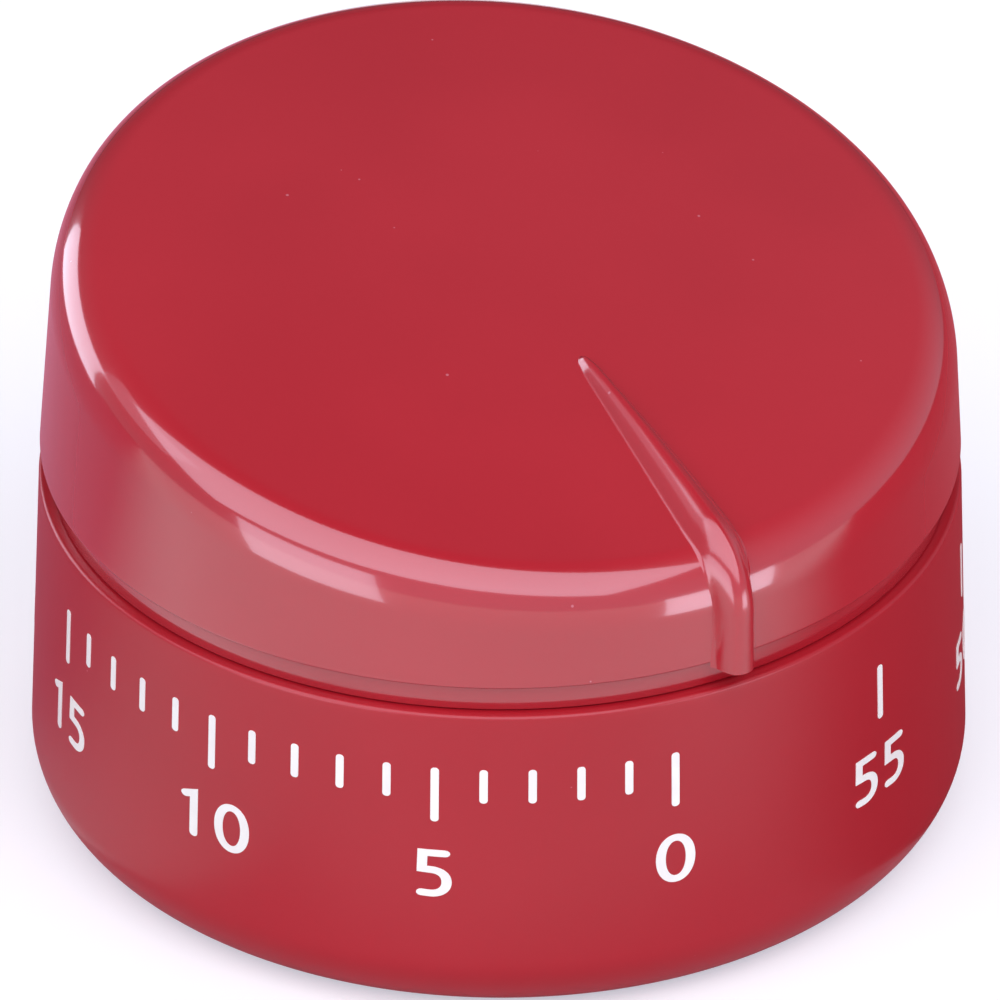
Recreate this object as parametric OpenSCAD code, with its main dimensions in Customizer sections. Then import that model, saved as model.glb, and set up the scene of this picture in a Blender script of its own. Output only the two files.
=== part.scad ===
// Wind-up kitchen timer: a round base with a minute scale, and a slanted cap that turns to wind it.
// Millimetres, +Z up, with the origin on the table under the centre of the base.
// An azimuth counts degrees from the front (-Y) towards the right (+X).

/* [Base] */
// Largest diameter of the base
base_d = 66; // [60:0.5:72]
// Height of the base's rim above the table
base_h = 25; // [23:0.5:30]
// Inward lean of the base's wall, in degrees
base_lean = 1.8; // [0.5:0.1:2.4]
// Radius of the base's bottom edge
base_round = 4.7; // [4:0.1:6]
// Wall thickness of the base
base_wall = 2.2; // [1.8:0.1:2.4]
// Height of the turret that carries the cap, above the rim
turret_h = 6.5; // [6:0.1:7]
// Thickness of the deck that closes the turret
deck_t = 1.8; // [1.5:0.1:2.2]
// Gap between the base's lower edge and the table
base_lift = 0.4; // [0.2:0.1:0.6]

/* [Cap] */
// Height of the open groove between the base's rim and the cap's edge
groove_h = 2.2; // [1.5:0.1:3]
// Depth of that groove behind the cap's edge
groove_depth = 1.2; // [0.8:0.1:1.5]
// Setback of the cap's edge behind the base's rim
cap_setback = 0.07; // [0:0.01:0.3]
// Height of the cap's top above the rim, on the axis
cap_h = 17.35; // [17:0.05:22]
// Slant of the cap's top, in degrees
cap_tilt = 10.6; // [6:0.1:11]
// Radius of the top's gentle dome
cap_dome_r = 350; // [250:10:600]
// Radius of the rounded edge between the top and the side
cap_round = 3.2; // [2.5:0.1:3.8]
// Inward lean of the cap's side, in degrees
cap_lean = 4.9; // [3:0.1:5.5]
// Wall thickness of the cap
cap_wall = 2; // [1.6:0.1:2.2]
// Azimuth of the cap's pointer and low side at rest
pointer_azimuth = 29.3; // [0:0.1:60]
// Angle that the cap can be turned through
cap_travel = 345; // [330:1:346]

/* [Pointer ridge] */
// Distance of the ridge's tip from the axis
pointer_tip_r = 11.6; // [8:0.1:16]
// Height of the ridge above the top at the rounded edge
pointer_rise = 1.05; // [0.6:0.05:1.6]
// Reach of the ridge beyond the cap's edge
pointer_reach = 1.8; // [1:0.1:2.4]
// Radius of the ridge's crest over the edge
pointer_bend = 6; // [4:0.1:7]
// Width of the crest
pointer_crest_w = 1.9; // [1:0.1:2.4]
// Width of the ridge's foot at the rounded edge
pointer_foot_w = 4.4; // [3:0.1:6]
// Drop of the ridge's lower end below the cap's edge
pointer_drop = 0.3; // [0:0.05:0.6]

/* [Bottom] */
// Height of the rubber foot ring
foot_h = 0.8; // [0.6:0.1:1.2]
// Gap between the foot ring and the cover screws
foot_gap = 1.1; // [0.8:0.1:2]
// Width of the foot ring
foot_w = 4; // [3:0.1:4.4]
// Thickness of the bottom cover
cover_t = 1.8; // [1.6:0.1:2.2]
// Width of the seat between the opening's edge and the base's wall
cover_seat_w = 2.8; // [2.4:0.1:3.2]
// Number of sound slots in the cover
slot_count = 10; // [6:1:14]
// Distance of the cover screws from the opening's edge
cover_screw_inset = 3.2; // [3:0.1:3.4]

/* [Bell] */
// Gap between the gong's wall and the screw bosses
gong_clear = 1.1; // [0.8:0.1:2]
// Gap between the gong's rim and the bottom cover
gong_lift = 2; // [1.5:0.1:3]
// Wall thickness of the gong
gong_t = 0.9; // [0.7:0.1:1.1]
// Diameter of the hammer's head
hammer_head_d = 4.4; // [3.6:0.1:5]
// Resting gap between the hammer's head and the gong
strike_gap = 0.8; // [0.7:0.1:1.2]

/* [Movement] */
// Thickness of the movement's plates
plate_t = 1; // [0.8:0.1:1.2]
// Diameter of the pillars between the plates
pillar_d = 3.6; // [3:0.1:4]
// Width of the mainspring's strip
spring_w = 4.8; // [4:0.1:5.2]
// Thickness of the mainspring's strip
spring_t = 0.3; // [0.2:0.02:0.4]
// Number of turns of the mainspring
spring_turns = 8; // [6:1:9]
// Diameter of the main arbor where it carries the cap
arbor_d = 5; // [4.6:0.1:5.2]
// Teeth of the main wheel
main_teeth = 60; // [56:1:60]
// Module of the main wheel and the second pinion, for a base of 66
main_module = 0.45; // [0.43:0.005:0.45]
// Teeth of the second wheel
second_teeth = 50; // [46:1:50]
// Module of the second wheel and the third pinion, for a base of 66
second_module = 0.36; // [0.34:0.005:0.365]
// Teeth of the third wheel
third_teeth = 48; // [45:1:48]
// Module of the third wheel and the escape pinion, for a base of 66
third_module = 0.32; // [0.31:0.005:0.325]
// Leaves of every pinion
leaves = 8; // [8:1:9]
// Teeth of the escape wheel
escape_teeth = 20; // [16:1:24]
// Diameter of the escape wheel, for a base of 66
escape_d = 10; // [9.4:0.1:10.2]
// Diameter of the balance wheel, for a base of 66
balance_d = 10; // [9:0.1:10.4]
// Thickness of the train's wheels
wheel_t = 0.8; // [0.6:0.1:1]
// Thickness of the main wheel
main_t = 1.2; // [1:0.1:1.4]
// Diameter of the cam disc, for a base of 66
cam_d = 15; // [14:0.1:15.4]

/* [Hidden] */
$fn = 64;

// Colours of the object
red = [0.70, 0.13, 0.17];
black = [0.12, 0.12, 0.13];
steel = [0.72, 0.73, 0.75];
blued = [0.30, 0.33, 0.42];
brass = [0.80, 0.63, 0.30];

// Clearances: a press seat, a running fit, a free gap between moving pieces, and a hole a screw passes
seat = 0.02;
running = 0.05;
free = 0.3;
screw_play = 0.2;
// Overshoot of a cut past the face that it opens
cut = 1;

// The movement's plan is drawn for one base and grows with it
plan_d = 66;
unit = base_d / plan_d;

// Base and cap, from the outside in
base_r = base_d / 2;
round_x = base_r - base_round;
wall_foot = [round_x + base_round * cos(base_lean), base_round + base_round * sin(base_lean)];
rim_r = wall_foot.x - (base_h - wall_foot.y) * tan(base_lean);
cap_r = rim_r - cap_setback;
edge_z = base_h + groove_h;
skirt_r = cap_r - groove_depth;
skirt_in = skirt_r - cap_wall;
turn_gap = 0.35;
turret_r = skirt_in - turn_gap;
turret_in = turret_r - base_wall;
deck_z = base_h + turret_h;
deck_under = deck_z - deck_t;
ledge_t = base_wall;
ledge_under = base_h - ledge_t;
inner_top_r = rim_r - base_wall;
inner_foot_r = wall_foot.x - base_wall;
arc_steps = 12;
round_steps = 6;
edge_round = 0.3;

// Cap top: part of a sphere whose centre lies under the slanted top
top_z = base_h + cap_h;
dome_u = -cap_dome_r * sin(cap_tilt);
dome_z = top_z - cap_dome_r * cos(cap_tilt);
shoulder_r = cap_r - cap_round;
cap_sides = 96;
dome_shares = [0.75, 0.5, 0.25, 0.05];

// Pointer ridge: stations along its crest, and its foot's width at the tip and on the side, as shares
ridge_shares = [0, 0.1, 0.35, 0.7];
ridge_tip_share = 0.05;
ridge_start_share = 0.4;
ridge_side_share = 0.73;
ridge_sink = 0.4;

// Bottom cover
cover_z = foot_h;
cover_top = cover_z + cover_t;
open_r = wall_foot.x - base_wall - cover_seat_w;
cover_r = open_r - screw_play;
cover_screw_r = open_r - cover_screw_inset;
cover_post_r = 4;
boss_r = 2.7;
boss_azimuths = [20, 140, 260];
screw_r = 1.1;
screw_head_r = 2;
screw_head_h = 1;
foot_r = cover_screw_r - screw_head_r - screw_play - foot_gap - foot_w / 2;
slot_w = 2;
slot_gap = 2;
slot_in_r = 8 * unit;
slot_out_r = foot_r - foot_w / 2 - slot_gap;

// Movement hung under the deck; levels are stacked between the plates
deck_boss_h = 1.3;
deck_boss_r = 3;
plate_gap = 0.45;
plate_r = turret_in - plate_gap;
top_plate_z = deck_under - deck_boss_h - plate_t;
spring_lift = 0.6;
level_gap = 0.8;
ratchet_gap = 0.2;
ratchet_t = 1;
second_gap = 1;
cam_t = 1;
stack_h = spring_lift + spring_w + level_gap + main_t + ratchet_gap + ratchet_t + second_gap
    + wheel_t + level_gap + cam_t + level_gap;
floor_z = top_plate_z - stack_h;
bottom_plate_z = floor_z - plate_t;
spring_z = floor_z + spring_lift;
main_z = spring_z + spring_w + level_gap;
ratchet_z = main_z + main_t + ratchet_gap;
second_z = ratchet_z + ratchet_t + second_gap;
cam_z = second_z + wheel_t + level_gap;
third_z = cam_z + (cam_t - wheel_t) / 2;
lever_lift = 2.6;
lever_z = floor_z + lever_lift;
lever_t = 1;
escape_lift = 2.8;
escape_z = floor_z + escape_lift;
pallet_gap = 0.4;
pallet_z = escape_z + wheel_t + pallet_gap;
balance_lift = 1;
balance_z = floor_z + balance_lift;
balance_t = 1;
balance_rim_t = 1.2;
boss_gap = 1.4;
boss_top = bottom_plate_z - boss_gap;
boss_floor = 3;
cover_screw_len = boss_top - cover_top - boss_floor;
movement_screw_r = 11 * unit;
movement_screw_azimuths = [45, 165, 285];
movement_head_r = 2.2;
movement_head_h = 1.2;
pillar_r = pillar_d / 2;
pillar_margin = 1.4;
pillar_ring_r = plate_r - pillar_r - pillar_margin;
pillar_azimuths = [38, 195, 280];
pillar_screw_r = 0.8;
pillar_screw_len = 3.5;
pillar_head_r = 1.6;
pillar_head_h = 0.9;

// Arbors and bushes
arbor_r = arbor_d / 2;
core_step = 0.7;
core_r = arbor_r + core_step;
foot_pivot_r = 1.6;
shaft_r = 0.8 * unit;
pivot_r = 0.5;
bush_wall = 0.8;
bush_stand = 0.3;
shake = 0.15;
washer_t = 0.3;
hub_gap = 1.2;
hub_z = deck_z + hub_gap;
hub_wall = 2.5;
hub_r = arbor_r + hub_wall;
hub_ring_lift = 0.4;
hub_ring_z = hub_z + hub_ring_lift;
hub_ring_h = 2;
hub_ring_t = 1;
flat_depth = 0.8;
hub_roof = 1;
arbor_top = top_z - cap_wall - hub_roof;

// Places of the train: each centre distance comes from its pair of gears
main_m = main_module * unit;
second_m = second_module * unit;
third_m = third_module * unit;
main_distance = main_m * (main_teeth + leaves) / 2;
second_distance = second_m * (second_teeth + leaves) / 2;
third_distance = third_m * (third_teeth + leaves) / 2;
escape_r = escape_d / 2 * unit;
balance_r = balance_d / 2 * unit;
third_ring_r = 17 * unit;
escape_ring_r = 18.4 * unit;
balance_ring_r = 19 * unit;
pallet_reach = 2.2 * unit;
pallet_distance = escape_r + pallet_reach;
second_azimuth = 70;
third_azimuth = second_azimuth + step_angle(main_distance, third_ring_r, second_distance);
escape_azimuth = third_azimuth + step_angle(third_ring_r, escape_ring_r, third_distance);
balance_azimuth = escape_azimuth + step_angle(escape_ring_r, balance_ring_r, pallet_distance);
second_at = place(main_distance, second_azimuth);
third_at = place(third_ring_r, third_azimuth);
escape_at = place(escape_ring_r, escape_azimuth);
balance_at = place(balance_ring_r, balance_azimuth);

// Tooth forms, in modules, and the share of a leaf's pitch that the leaf fills
addendum = 1.1;
dedendum = 1;
tooth_play = 0.05;
leaf_fill = 0.62;
root_play = 0.25;
face_over = 0.4;
flank_steps = 4;
tooth_depth = 2;
hub_web = 1.7;
rim_web = 0.5;
hole_count = 5;
escape_tooth_h = 1 * unit;
escape_lead = 0.7;
escape_hole_count = 4;
pin_r = 0.3;
pin_gap = 0.35;
pin_spread = 35;
pin_over = 0.2;

// Gong and hammer
gong_r = cover_screw_r - boss_r - gong_clear;
gong_gap = 2;
gong_top = bottom_plate_z - gong_gap;
gong_rim_z = cover_top + gong_lift;
gong_round_share = 0.735;
gong_round = gong_round_share * (gong_top - gong_rim_z);
gong_screw_r = 1.4;
gong_screw_floor = 1.9;
gong_screw_len = gong_top - gong_t - cover_top - gong_screw_floor;
gong_head_r = 2.6;
gong_head_h = 1.2;
star_teeth = 10;
star_r = 3.2 * unit;
star_depth = 1 * unit;
hammer_ring_r = 18 * unit;
hammer_azimuth = 28;
hammer_at = place(hammer_ring_r, hammer_azimuth);
staffs_at = [second_at, third_at, escape_at, balance_at, hammer_at];
head_r = hammer_head_d / 2;
head_h = 5;
head_lift = 0.5;
head_azimuth = -10;
head_at = place(gong_r + strike_gap + head_r, head_azimuth);
rod_r = 0.8;
rod_notch_r = 3;
lever_hub_r = 2;
bar_w = 1.4;
arm_w = 1.26;
tip_r = 0.7;
tail_gap = 0.4;
tail_len = norm(second_at - hammer_at) - star_r - tail_gap - tip_r;
tail_at = hammer_at + tail_len * (second_at - hammer_at) / norm(second_at - hammer_at);

// Cam, detent and catch
cam_r = cam_d / 2 * unit;
cam_hub_wall = 1.3;
cam_hub_r = arbor_r + cam_hub_wall;
notch_depth = 1.5;
notch_azimuth = -84;
notch_span = 32;
detent_ring_r = 15 * unit;
detent_azimuth = -60;
detent_at = place(detent_ring_r, detent_azimuth);
detent_nose_azimuth = -90;
detent_nose_at = place(cam_r + free + tip_r, detent_nose_azimuth);
detent_tip_ring_r = 20.4 * unit;
detent_tip_azimuth = -6;
detent_tip_at = place(detent_tip_ring_r, detent_tip_azimuth);
catch_tip_ring_r = 17.3 * unit;
catch_tip_azimuth = -7;
catch_tip_at = place(catch_tip_ring_r, catch_tip_azimuth);
stud_r = 1.1;
stud_head_r = 1.8;
stud_head_h = 0.5;
rivet_r = 0.9;
blade_t = 0.3;
blade_inset = 0.1;
detent_press_share = 0.6;
detent_blade_along = 1.2 * unit;
detent_blade_across = 3.4 * unit;
detent_arm_dir = (detent_tip_at - detent_at) / norm(detent_tip_at - detent_at);
detent_side = [-detent_arm_dir.y, detent_arm_dir.x];
detent_press_at = detent_at + detent_press_share * (detent_tip_at - detent_at)
    + (bar_w / 2 + blade_t) * detent_side;
detent_spring_at = detent_press_at + detent_blade_across * detent_side + detent_blade_along * detent_arm_dir;

// Ratchet and click
ratchet_teeth = 20;
ratchet_r = 6 * unit;
ratchet_depth = 1 * unit;
ratchet_lead = 0.98;
click_azimuth = 240;
click_span = 29;
click_ring_r = 10.6 * unit;
nose_r = 0.35 * unit;
nose_ring_r = 5.85 * unit;
nose_lead = 5;
click_bar_w = 0.8;
click_hub_r = 1.6;
click_stud_r = 0.8;
click_head_r = 1.3;
click_head_h = 0.4;
click_head_gap = 0.1;
click_press_along = 1.9 * unit;
click_blade_along = 1.5 * unit;
click_blade_across = 3.2 * unit;
click_at = place(click_ring_r, click_azimuth);
click_nose_at = place(nose_ring_r, click_azimuth - click_span);
click_dir = (click_at - click_nose_at) / norm(click_at - click_nose_at);
click_side = [click_dir.y, -click_dir.x];
click_press_at = click_nose_at + click_press_along * click_dir + (click_bar_w / 2 + blade_t) * click_side;
click_spring_at = click_press_at + click_blade_across * click_side + click_blade_along * click_dir;
click_spring_post_r = 0.7;

// Mainspring, from the arbor's core to its post
spring_post_r = 1;
spring_post_azimuth = 250;
spring_post_ring_r = 12.2 * unit;
spring_start_r = core_r + spring_t / 2 + running;
spring_end_r = spring_post_ring_r - spring_post_r - running - spring_t / 2;
spring_steps = 24;
loop_t = 0.35;
post_over = 0.2;

// Stop: a post on the deck and a lug under the cap, half of the untravelled angle apart
stop_ring_r = 21 * unit;
stop_post_r = 1.25;
stop_lug_r = 1.15;
stop_post_h = 2.5;
stop_lug_gap = 0.5;
stop_half_gap = (360 - cap_travel) / 2;

// Ribs under the cap's top, between its hub and its wall
rib_count = 4;
rib_t = 1.2;
rib_gap = 0.4;
rib_z = hub_ring_z + hub_ring_h + rib_gap;
rib_out_r = 19 * unit;

function place(r, azimuth) = [r * sin(azimuth), -r * cos(azimuth)];
function step_angle(a, b, c) = acos((a * a + b * b - c * c) / (2 * a * b));
function sum(values) = values * [for (v = values) 1];
function heading(a, b) = atan2(b.y - a.y, b.x - a.x);
function arc(centre, r, from, to, steps) =
    [for (i = [0:steps]) let (t = from + (to - from) * i / steps) centre + r * [cos(t), sin(t)]];

// Height of the cap's top at a radius and azimuth, or of a face inside it by the given depth
function dome_height(r, azimuth, depth = 0) =
    let (u = r * cos(azimuth - pointer_azimuth) - dome_u, v = r * sin(azimuth - pointer_azimuth))
    dome_z + sqrt(pow(cap_dome_r - depth, 2) - u * u - v * v);

// Radial slope of the cap's top at its shoulder
function shoulder_slope(azimuth) =
    let (h = 0.01)
    (dome_height(shoulder_r + h, azimuth) - dome_height(shoulder_r - h, azimuth)) / (2 * h);

// Centre of the rounded edge at an azimuth, touching the side and the top
function round_centre(azimuth) =
    let (
        slope = shoulder_slope(azimuth),
        side = [cos(cap_lean), sin(cap_lean)],
        top = [-slope, 1] / norm([slope, 1]),
        b = side * [cap_r, edge_z] - cap_round,
        c = top * [shoulder_r, dome_height(shoulder_r, azimuth)] - cap_round,
        det = side.x * top.y - side.y * top.x
    )
    [(b * top.y - c * side.y) / det, (side.x * c - top.x * b) / det];

// Outline of the cap at an azimuth: lower edge, side, rounded edge and dome, as [radius, height]
function cap_outline(azimuth) =
    let (
        top_angle = atan2(1, -shoulder_slope(azimuth)),
        rounded = arc(round_centre(azimuth), cap_round, cap_lean, top_angle, round_steps),
        last_r = rounded[round_steps].x
    )
    concat([[cap_r, edge_z]], rounded,
        [for (f = dome_shares) [f * last_r, dome_height(f * last_r, azimuth)]]);

function cavity_outline(azimuth, depth) =
    concat([[skirt_in, base_h]],
        [for (f = concat([1], dome_shares)) [f * skirt_in, dome_height(f * skirt_in, azimuth, depth)]]);

// Rings of points from one outline per azimuth
function rings_from(outlines) =
    [for (j = [0:len(outlines[0]) - 1]) [for (i = [0:len(outlines) - 1])
        let (p = outlines[i][j], azimuth = 360 * i / len(outlines))
        [p.x * sin(azimuth), -p.x * cos(azimuth), p.y]]];

// Closed skin over rings that all hold the same number of points, with each end closed by a fan
module skin(rings) {
    n = len(rings[0]);
    count = n * len(rings);
    last = count - n;
    middles = [for (ring = [rings[0], rings[len(rings) - 1]])
        [for (k = [0:2]) sum([for (p = ring) p[k]]) / n]];
    sides = [for (j = [0:len(rings) - 2], i = [0:n - 1])
        let (a = n * j + i, b = n * j + (i + 1) % n) each [[a, a + n, b], [b, a + n, b + n]]];
    ends = [for (i = [0:n - 1])
        let (next = (i + 1) % n) each [[count, i, next], [count + 1, last + next, last + i]]];
    polyhedron(concat([for (ring = rings) each ring], middles), concat(sides, ends));
}

module cap_solid() {
    skin(rings_from([for (i = [0:cap_sides - 1]) cap_outline(360 * i / cap_sides)]));
}

module cap_cavity(depth) {
    skin(rings_from([for (i = [0:cap_sides - 1]) cavity_outline(360 * i / cap_sides, depth)]));
}

// Depth of the cap's surface under a point on its low side, measured against the given normal
function surface_depth(p, normal) =
    let (
        slope = shoulder_slope(pointer_azimuth),
        side = [cos(cap_lean), sin(cap_lean)],
        top = [-slope, 1] / norm([slope, 1]),
        from = p - round_centre(pointer_azimuth),
        along = normal * from,
        reach = along * along - from * from + cap_round * cap_round,
        round_depth = along - sqrt(max(0, reach)),
        hit = from - round_depth * normal,
        angle = atan2(hit.y, hit.x)
    )
    reach > 0 && angle > cap_lean && angle < atan2(1, -slope)
        ? round_depth
        : max((side * from - cap_round) / (side * normal), (top * from - cap_round) / (top * normal));

// Cross-section of the pointer ridge: station is [r, z, normal angle, crest half, foot half, height]
function ridge_section(station) =
    let (
        normal = [cos(station[2]), sin(station[2])],
        crest = [station[0], station[1]],
        root = crest - (station[5] + ridge_sink) * normal,
        root_half = station[4] + (station[4] - station[3]) * ridge_sink / max(ridge_sink, station[5])
    )
    [for (p = [[root, -root_half], [crest, -station[3]], [crest, station[3]], [root, root_half]])
        let (out = place(p[0].x, pointer_azimuth), across = place(p[1], pointer_azimuth - 90))
        [out.x + across.x, out.y + across.y, p[0].y]];

// Stations along the ridge: a straight crest over the top, an arc over the edge, a drop down the side
function ridge_stations() =
    let (
        tip_z = dome_height(pointer_tip_r, pointer_azimuth),
        end_z = dome_height(shoulder_r, pointer_azimuth) + pointer_rise,
        slope = atan2(end_z - tip_z, shoulder_r - pointer_tip_r),
        face_r = cap_r + pointer_reach,
        bend_r = face_r - pointer_bend,
        bend_at = [bend_r, tip_z + (bend_r - pointer_tip_r) * tan(slope) - pointer_bend / cos(slope)],
        bend = arc(bend_at, pointer_bend, 90 + slope, 0, round_steps),
        crest = pointer_crest_w / 2,
        foot = pointer_foot_w / 2
    )
    concat(
        [for (f = ridge_shares)
            let (
                r = pointer_tip_r + f * (bend[0].x - pointer_tip_r),
                z = tip_z + (r - pointer_tip_r) * tan(slope)
            )
            [r, z, 90 + slope, crest * max(f, ridge_tip_share),
             foot * (f == 0 ? ridge_tip_share : ridge_start_share + (1 - ridge_start_share) * f),
             max(0, z - dome_height(r, pointer_azimuth))]],
        [for (i = [0:round_steps])
            let (share = i / round_steps, angle = (90 + slope) * (1 - share))
            [bend[i].x, bend[i].y, angle, crest, foot * (1 - (1 - ridge_side_share) * share),
             surface_depth(bend[i], [cos(angle), sin(angle)])]],
        [[face_r, edge_z - pointer_drop, 0, crest, foot * ridge_side_share,
          surface_depth([face_r, edge_z - pointer_drop], [1, 0])]]
    );

module pointer_ridge() {
    skin([for (station = ridge_stations()) ridge_section(station)]);
}

// Point of a wheel tooth's epicycloid flank, as [radius, angle]
function flank(r, q, t) =
    let (x = (r + q) * cos(t) - q * cos((r + q) / q * t), y = (r + q) * sin(t) - q * sin((r + q) / q * t))
    [norm([x, y]), atan2(y, x)];

// Wheel outline with cycloidal teeth, one of them centred on +X
function wheel_outline(teeth, m) =
    let (
        r = m * teeth / 2,
        q = m * leaves / 4,
        tip = r + addendum * m,
        end = acos((pow(r + q, 2) + q * q - tip * tip) / (2 * q * (r + q))) * q / r,
        half = 90 / teeth - tooth_play * 180 / (PI * r),
        rising = [for (i = [0:flank_steps]) flank(r, q, end * i / flank_steps)],
        root = r - dedendum * m
    )
    [for (i = [0:teeth - 1]) let (mid = 360 * i / teeth)
        each concat(
            [root * [cos(mid - half), sin(mid - half)]],
            [for (p = rising) p[0] * [cos(mid - half + p[1]), sin(mid - half + p[1])]],
            [for (j = [flank_steps:-1:0])
                let (p = rising[j]) p[0] * [cos(mid + half - p[1]), sin(mid + half - p[1])]],
            [root * [cos(mid + half), sin(mid + half)]]
        )];

// Pinion outline with radial leaves and round tips, one of them centred on +X
function pinion_outline(m) =
    let (
        r = m * leaves / 2,
        root = r - (addendum + root_play) * m,
        half = 90 / leaves * leaf_fill,
        round_r = r * sin(half)
    )
    [for (i = [0:leaves - 1])
        let (mid = 360 * i / leaves, turn = [[cos(mid), -sin(mid)], [sin(mid), cos(mid)]])
        each concat(
            [root * [cos(mid - half), sin(mid - half)]],
            [for (p = arc([r * cos(half), 0], round_r, -90, 90, round_steps)) turn * p],
            [root * [cos(mid + half), sin(mid + half)]]
        )];

// Outline of pointed teeth, with the tip led ahead of its root by a share of the pitch
function star_outline(teeth, tip, root, lead) =
    [for (i = [0:teeth - 1])
        each [root * [cos(360 * i / teeth), sin(360 * i / teeth)],
              tip * [cos(360 * (i + lead) / teeth), sin(360 * (i + lead) / teeth)]]];

module at(p, z = 0) {
    translate([p.x, p.y, z])
        children();
}

module around(azimuths, r) {
    for (azimuth = azimuths)
        at(place(r, azimuth))
            children();
}

module rod(r, from, to) {
    translate([0, 0, from])
        cylinder(r = r, h = to - from);
}

module ring(r_out, r_in, from, to) {
    difference() {
        rod(r_out, from, to);
        rod(r_in, from - cut, to + cut);
    }
}

// Flat bar with square ends between two points
module bar(a, b, w, from, to) {
    at(a)
        rotate([0, 0, heading(a, b)])
            translate([0, -w / 2, from])
                cube([norm(b - a), w, to - from]);
}

// Round weight holes through a wheel
module weight_holes(count, ring_r, hole_r, from, to) {
    for (i = [0:count - 1])
        at(place(ring_r, 360 * (i + 0.5) / count))
            rod(hole_r, from - cut, to + cut);
}

// Pan head screw that hangs head up from a face, with its shank below
module screw(shank_r, shank_len, head_r, head_h, face_z) {
    rod(head_r, face_z, face_z + head_h);
    rod(shank_r, face_z - shank_len, face_z + head_h / 2);
}

module base_profile() {
    lower = asin((base_round - base_lift) / base_round);
    polygon(concat(
        [[open_r, base_lift]],
        arc([round_x, base_round], base_round, -lower, base_lean, arc_steps),
        arc([rim_r - edge_round, base_h - edge_round], edge_round, base_lean, 90, round_steps),
        [[turret_r, base_h], [turret_r, deck_z], [arbor_r + running + screw_play, deck_z],
         [arbor_r + running + screw_play, deck_under], [turret_in, deck_under], [turret_in, ledge_under],
         [inner_top_r, ledge_under], [inner_foot_r, wall_foot.y],
         [inner_foot_r - base_wall / 2, cover_top + base_wall / 2], [open_r, cover_top]]
    ));
}

module base_shell() {
    color(red)
        difference() {
            union() {
                rotate_extrude($fn = 128)
                    base_profile();
                around(boss_azimuths, cover_screw_r)
                    rod(boss_r, cover_top, boss_top);
                for (azimuth = boss_azimuths)
                    bar(place(cover_screw_r, azimuth), place(inner_foot_r + base_wall / 4, azimuth), boss_r,
                        cover_top + base_wall, boss_top);
                around(movement_screw_azimuths, movement_screw_r)
                    rod(deck_boss_r, deck_under - deck_boss_h, deck_under + deck_t / 2);
                at(place(stop_ring_r, pointer_azimuth + stop_half_gap))
                    rod(stop_post_r, deck_z - deck_t / 2, deck_z + stop_post_h);
            }
            around(boss_azimuths, cover_screw_r)
                rod(screw_r + seat, cover_top - cut, boss_top - cut);
            around(movement_screw_azimuths, movement_screw_r)
                rod(screw_r + screw_play, top_plate_z, deck_z + cut);
        }
}

module bottom_cover() {
    color(red)
        difference() {
            union() {
                rod(cover_r, cover_z, cover_top);
                rod(cover_post_r, cover_top - cover_t / 2, gong_top - gong_t);
            }
            around(boss_azimuths, cover_screw_r) {
                rod(screw_r + screw_play, cover_z - cut, cover_top + cut);
                rod(screw_head_r + screw_play, cover_z - cut, cover_z + screw_head_h);
            }
            rod(gong_screw_r + seat, gong_top - gong_t - gong_screw_len - cut, gong_top);
            for (i = [0:slot_count - 1])
                bar(place(slot_in_r, 360 * i / slot_count), place(slot_out_r, 360 * i / slot_count), slot_w,
                    cover_z - cut, cover_top + cut);
        }
}

module cover_screws() {
    color(steel)
        around(boss_azimuths, cover_screw_r) {
            rod(screw_head_r, cover_z, cover_z + screw_head_h);
            rod(screw_r, cover_z + screw_head_h / 2, cover_top + cover_screw_len);
        }
}

module foot_ring() {
    color(black)
        ring(foot_r + foot_w / 2, foot_r - foot_w / 2, 0, foot_h);
}

module gong() {
    corner = [gong_r - gong_round, gong_top - gong_round];
    color(steel)
        rotate_extrude($fn = 128)
            polygon(concat(
                [[gong_screw_r + screw_play, gong_top - gong_t], [gong_screw_r + screw_play, gong_top]],
                arc(corner, gong_round, 90, 0, arc_steps),
                [[gong_r, gong_rim_z], [gong_r - gong_t, gong_rim_z]],
                arc(corner, gong_round - gong_t, 0, 90, arc_steps)
            ));
}

module gong_screw() {
    color(steel)
        screw(gong_screw_r, gong_t + gong_screw_len, gong_head_r, gong_head_h, gong_top);
}

// Holes in a plate for its bushes: one on the axis and one for each staff
module bush_holes(main_pivot_r, from, to) {
    rod(main_pivot_r + running + bush_wall + seat, from, to);
    for (p = staffs_at)
        at(p)
            rod(pivot_r + running + bush_wall + seat, from, to);
}

module bushes(main_pivot_r, from, to) {
    ring(main_pivot_r + running + bush_wall, main_pivot_r + running, from, to);
    for (p = staffs_at)
        at(p)
            ring(pivot_r + running + bush_wall, pivot_r + running, from, to);
}

module top_plate() {
    color(brass)
        difference() {
            rod(plate_r, top_plate_z, top_plate_z + plate_t);
            bush_holes(arbor_r, top_plate_z - cut, top_plate_z + plate_t + cut);
            around(movement_screw_azimuths, movement_screw_r)
                rod(screw_r + seat, top_plate_z - cut, top_plate_z + plate_t + cut);
            around(pillar_azimuths, pillar_ring_r)
                rod(pillar_screw_r + screw_play, top_plate_z - cut, top_plate_z + plate_t + cut);
            for (p = [detent_at, detent_spring_at])
                at(p)
                    rod(rivet_r + seat, top_plate_z - cut, top_plate_z + plate_t + cut);
        }
}

module bottom_plate() {
    color(brass)
        difference() {
            rod(plate_r, bottom_plate_z, floor_z);
            bush_holes(foot_pivot_r, bottom_plate_z - cut, floor_z + cut);
            around(pillar_azimuths, pillar_ring_r)
                rod(pillar_screw_r + screw_play, bottom_plate_z - cut, floor_z + cut);
            at(place(spring_post_ring_r, spring_post_azimuth))
                rod(spring_post_r + seat, bottom_plate_z - cut, floor_z + cut);
            at(head_at)
                rod(rod_notch_r, bottom_plate_z - cut, floor_z + cut);
        }
}

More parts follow.
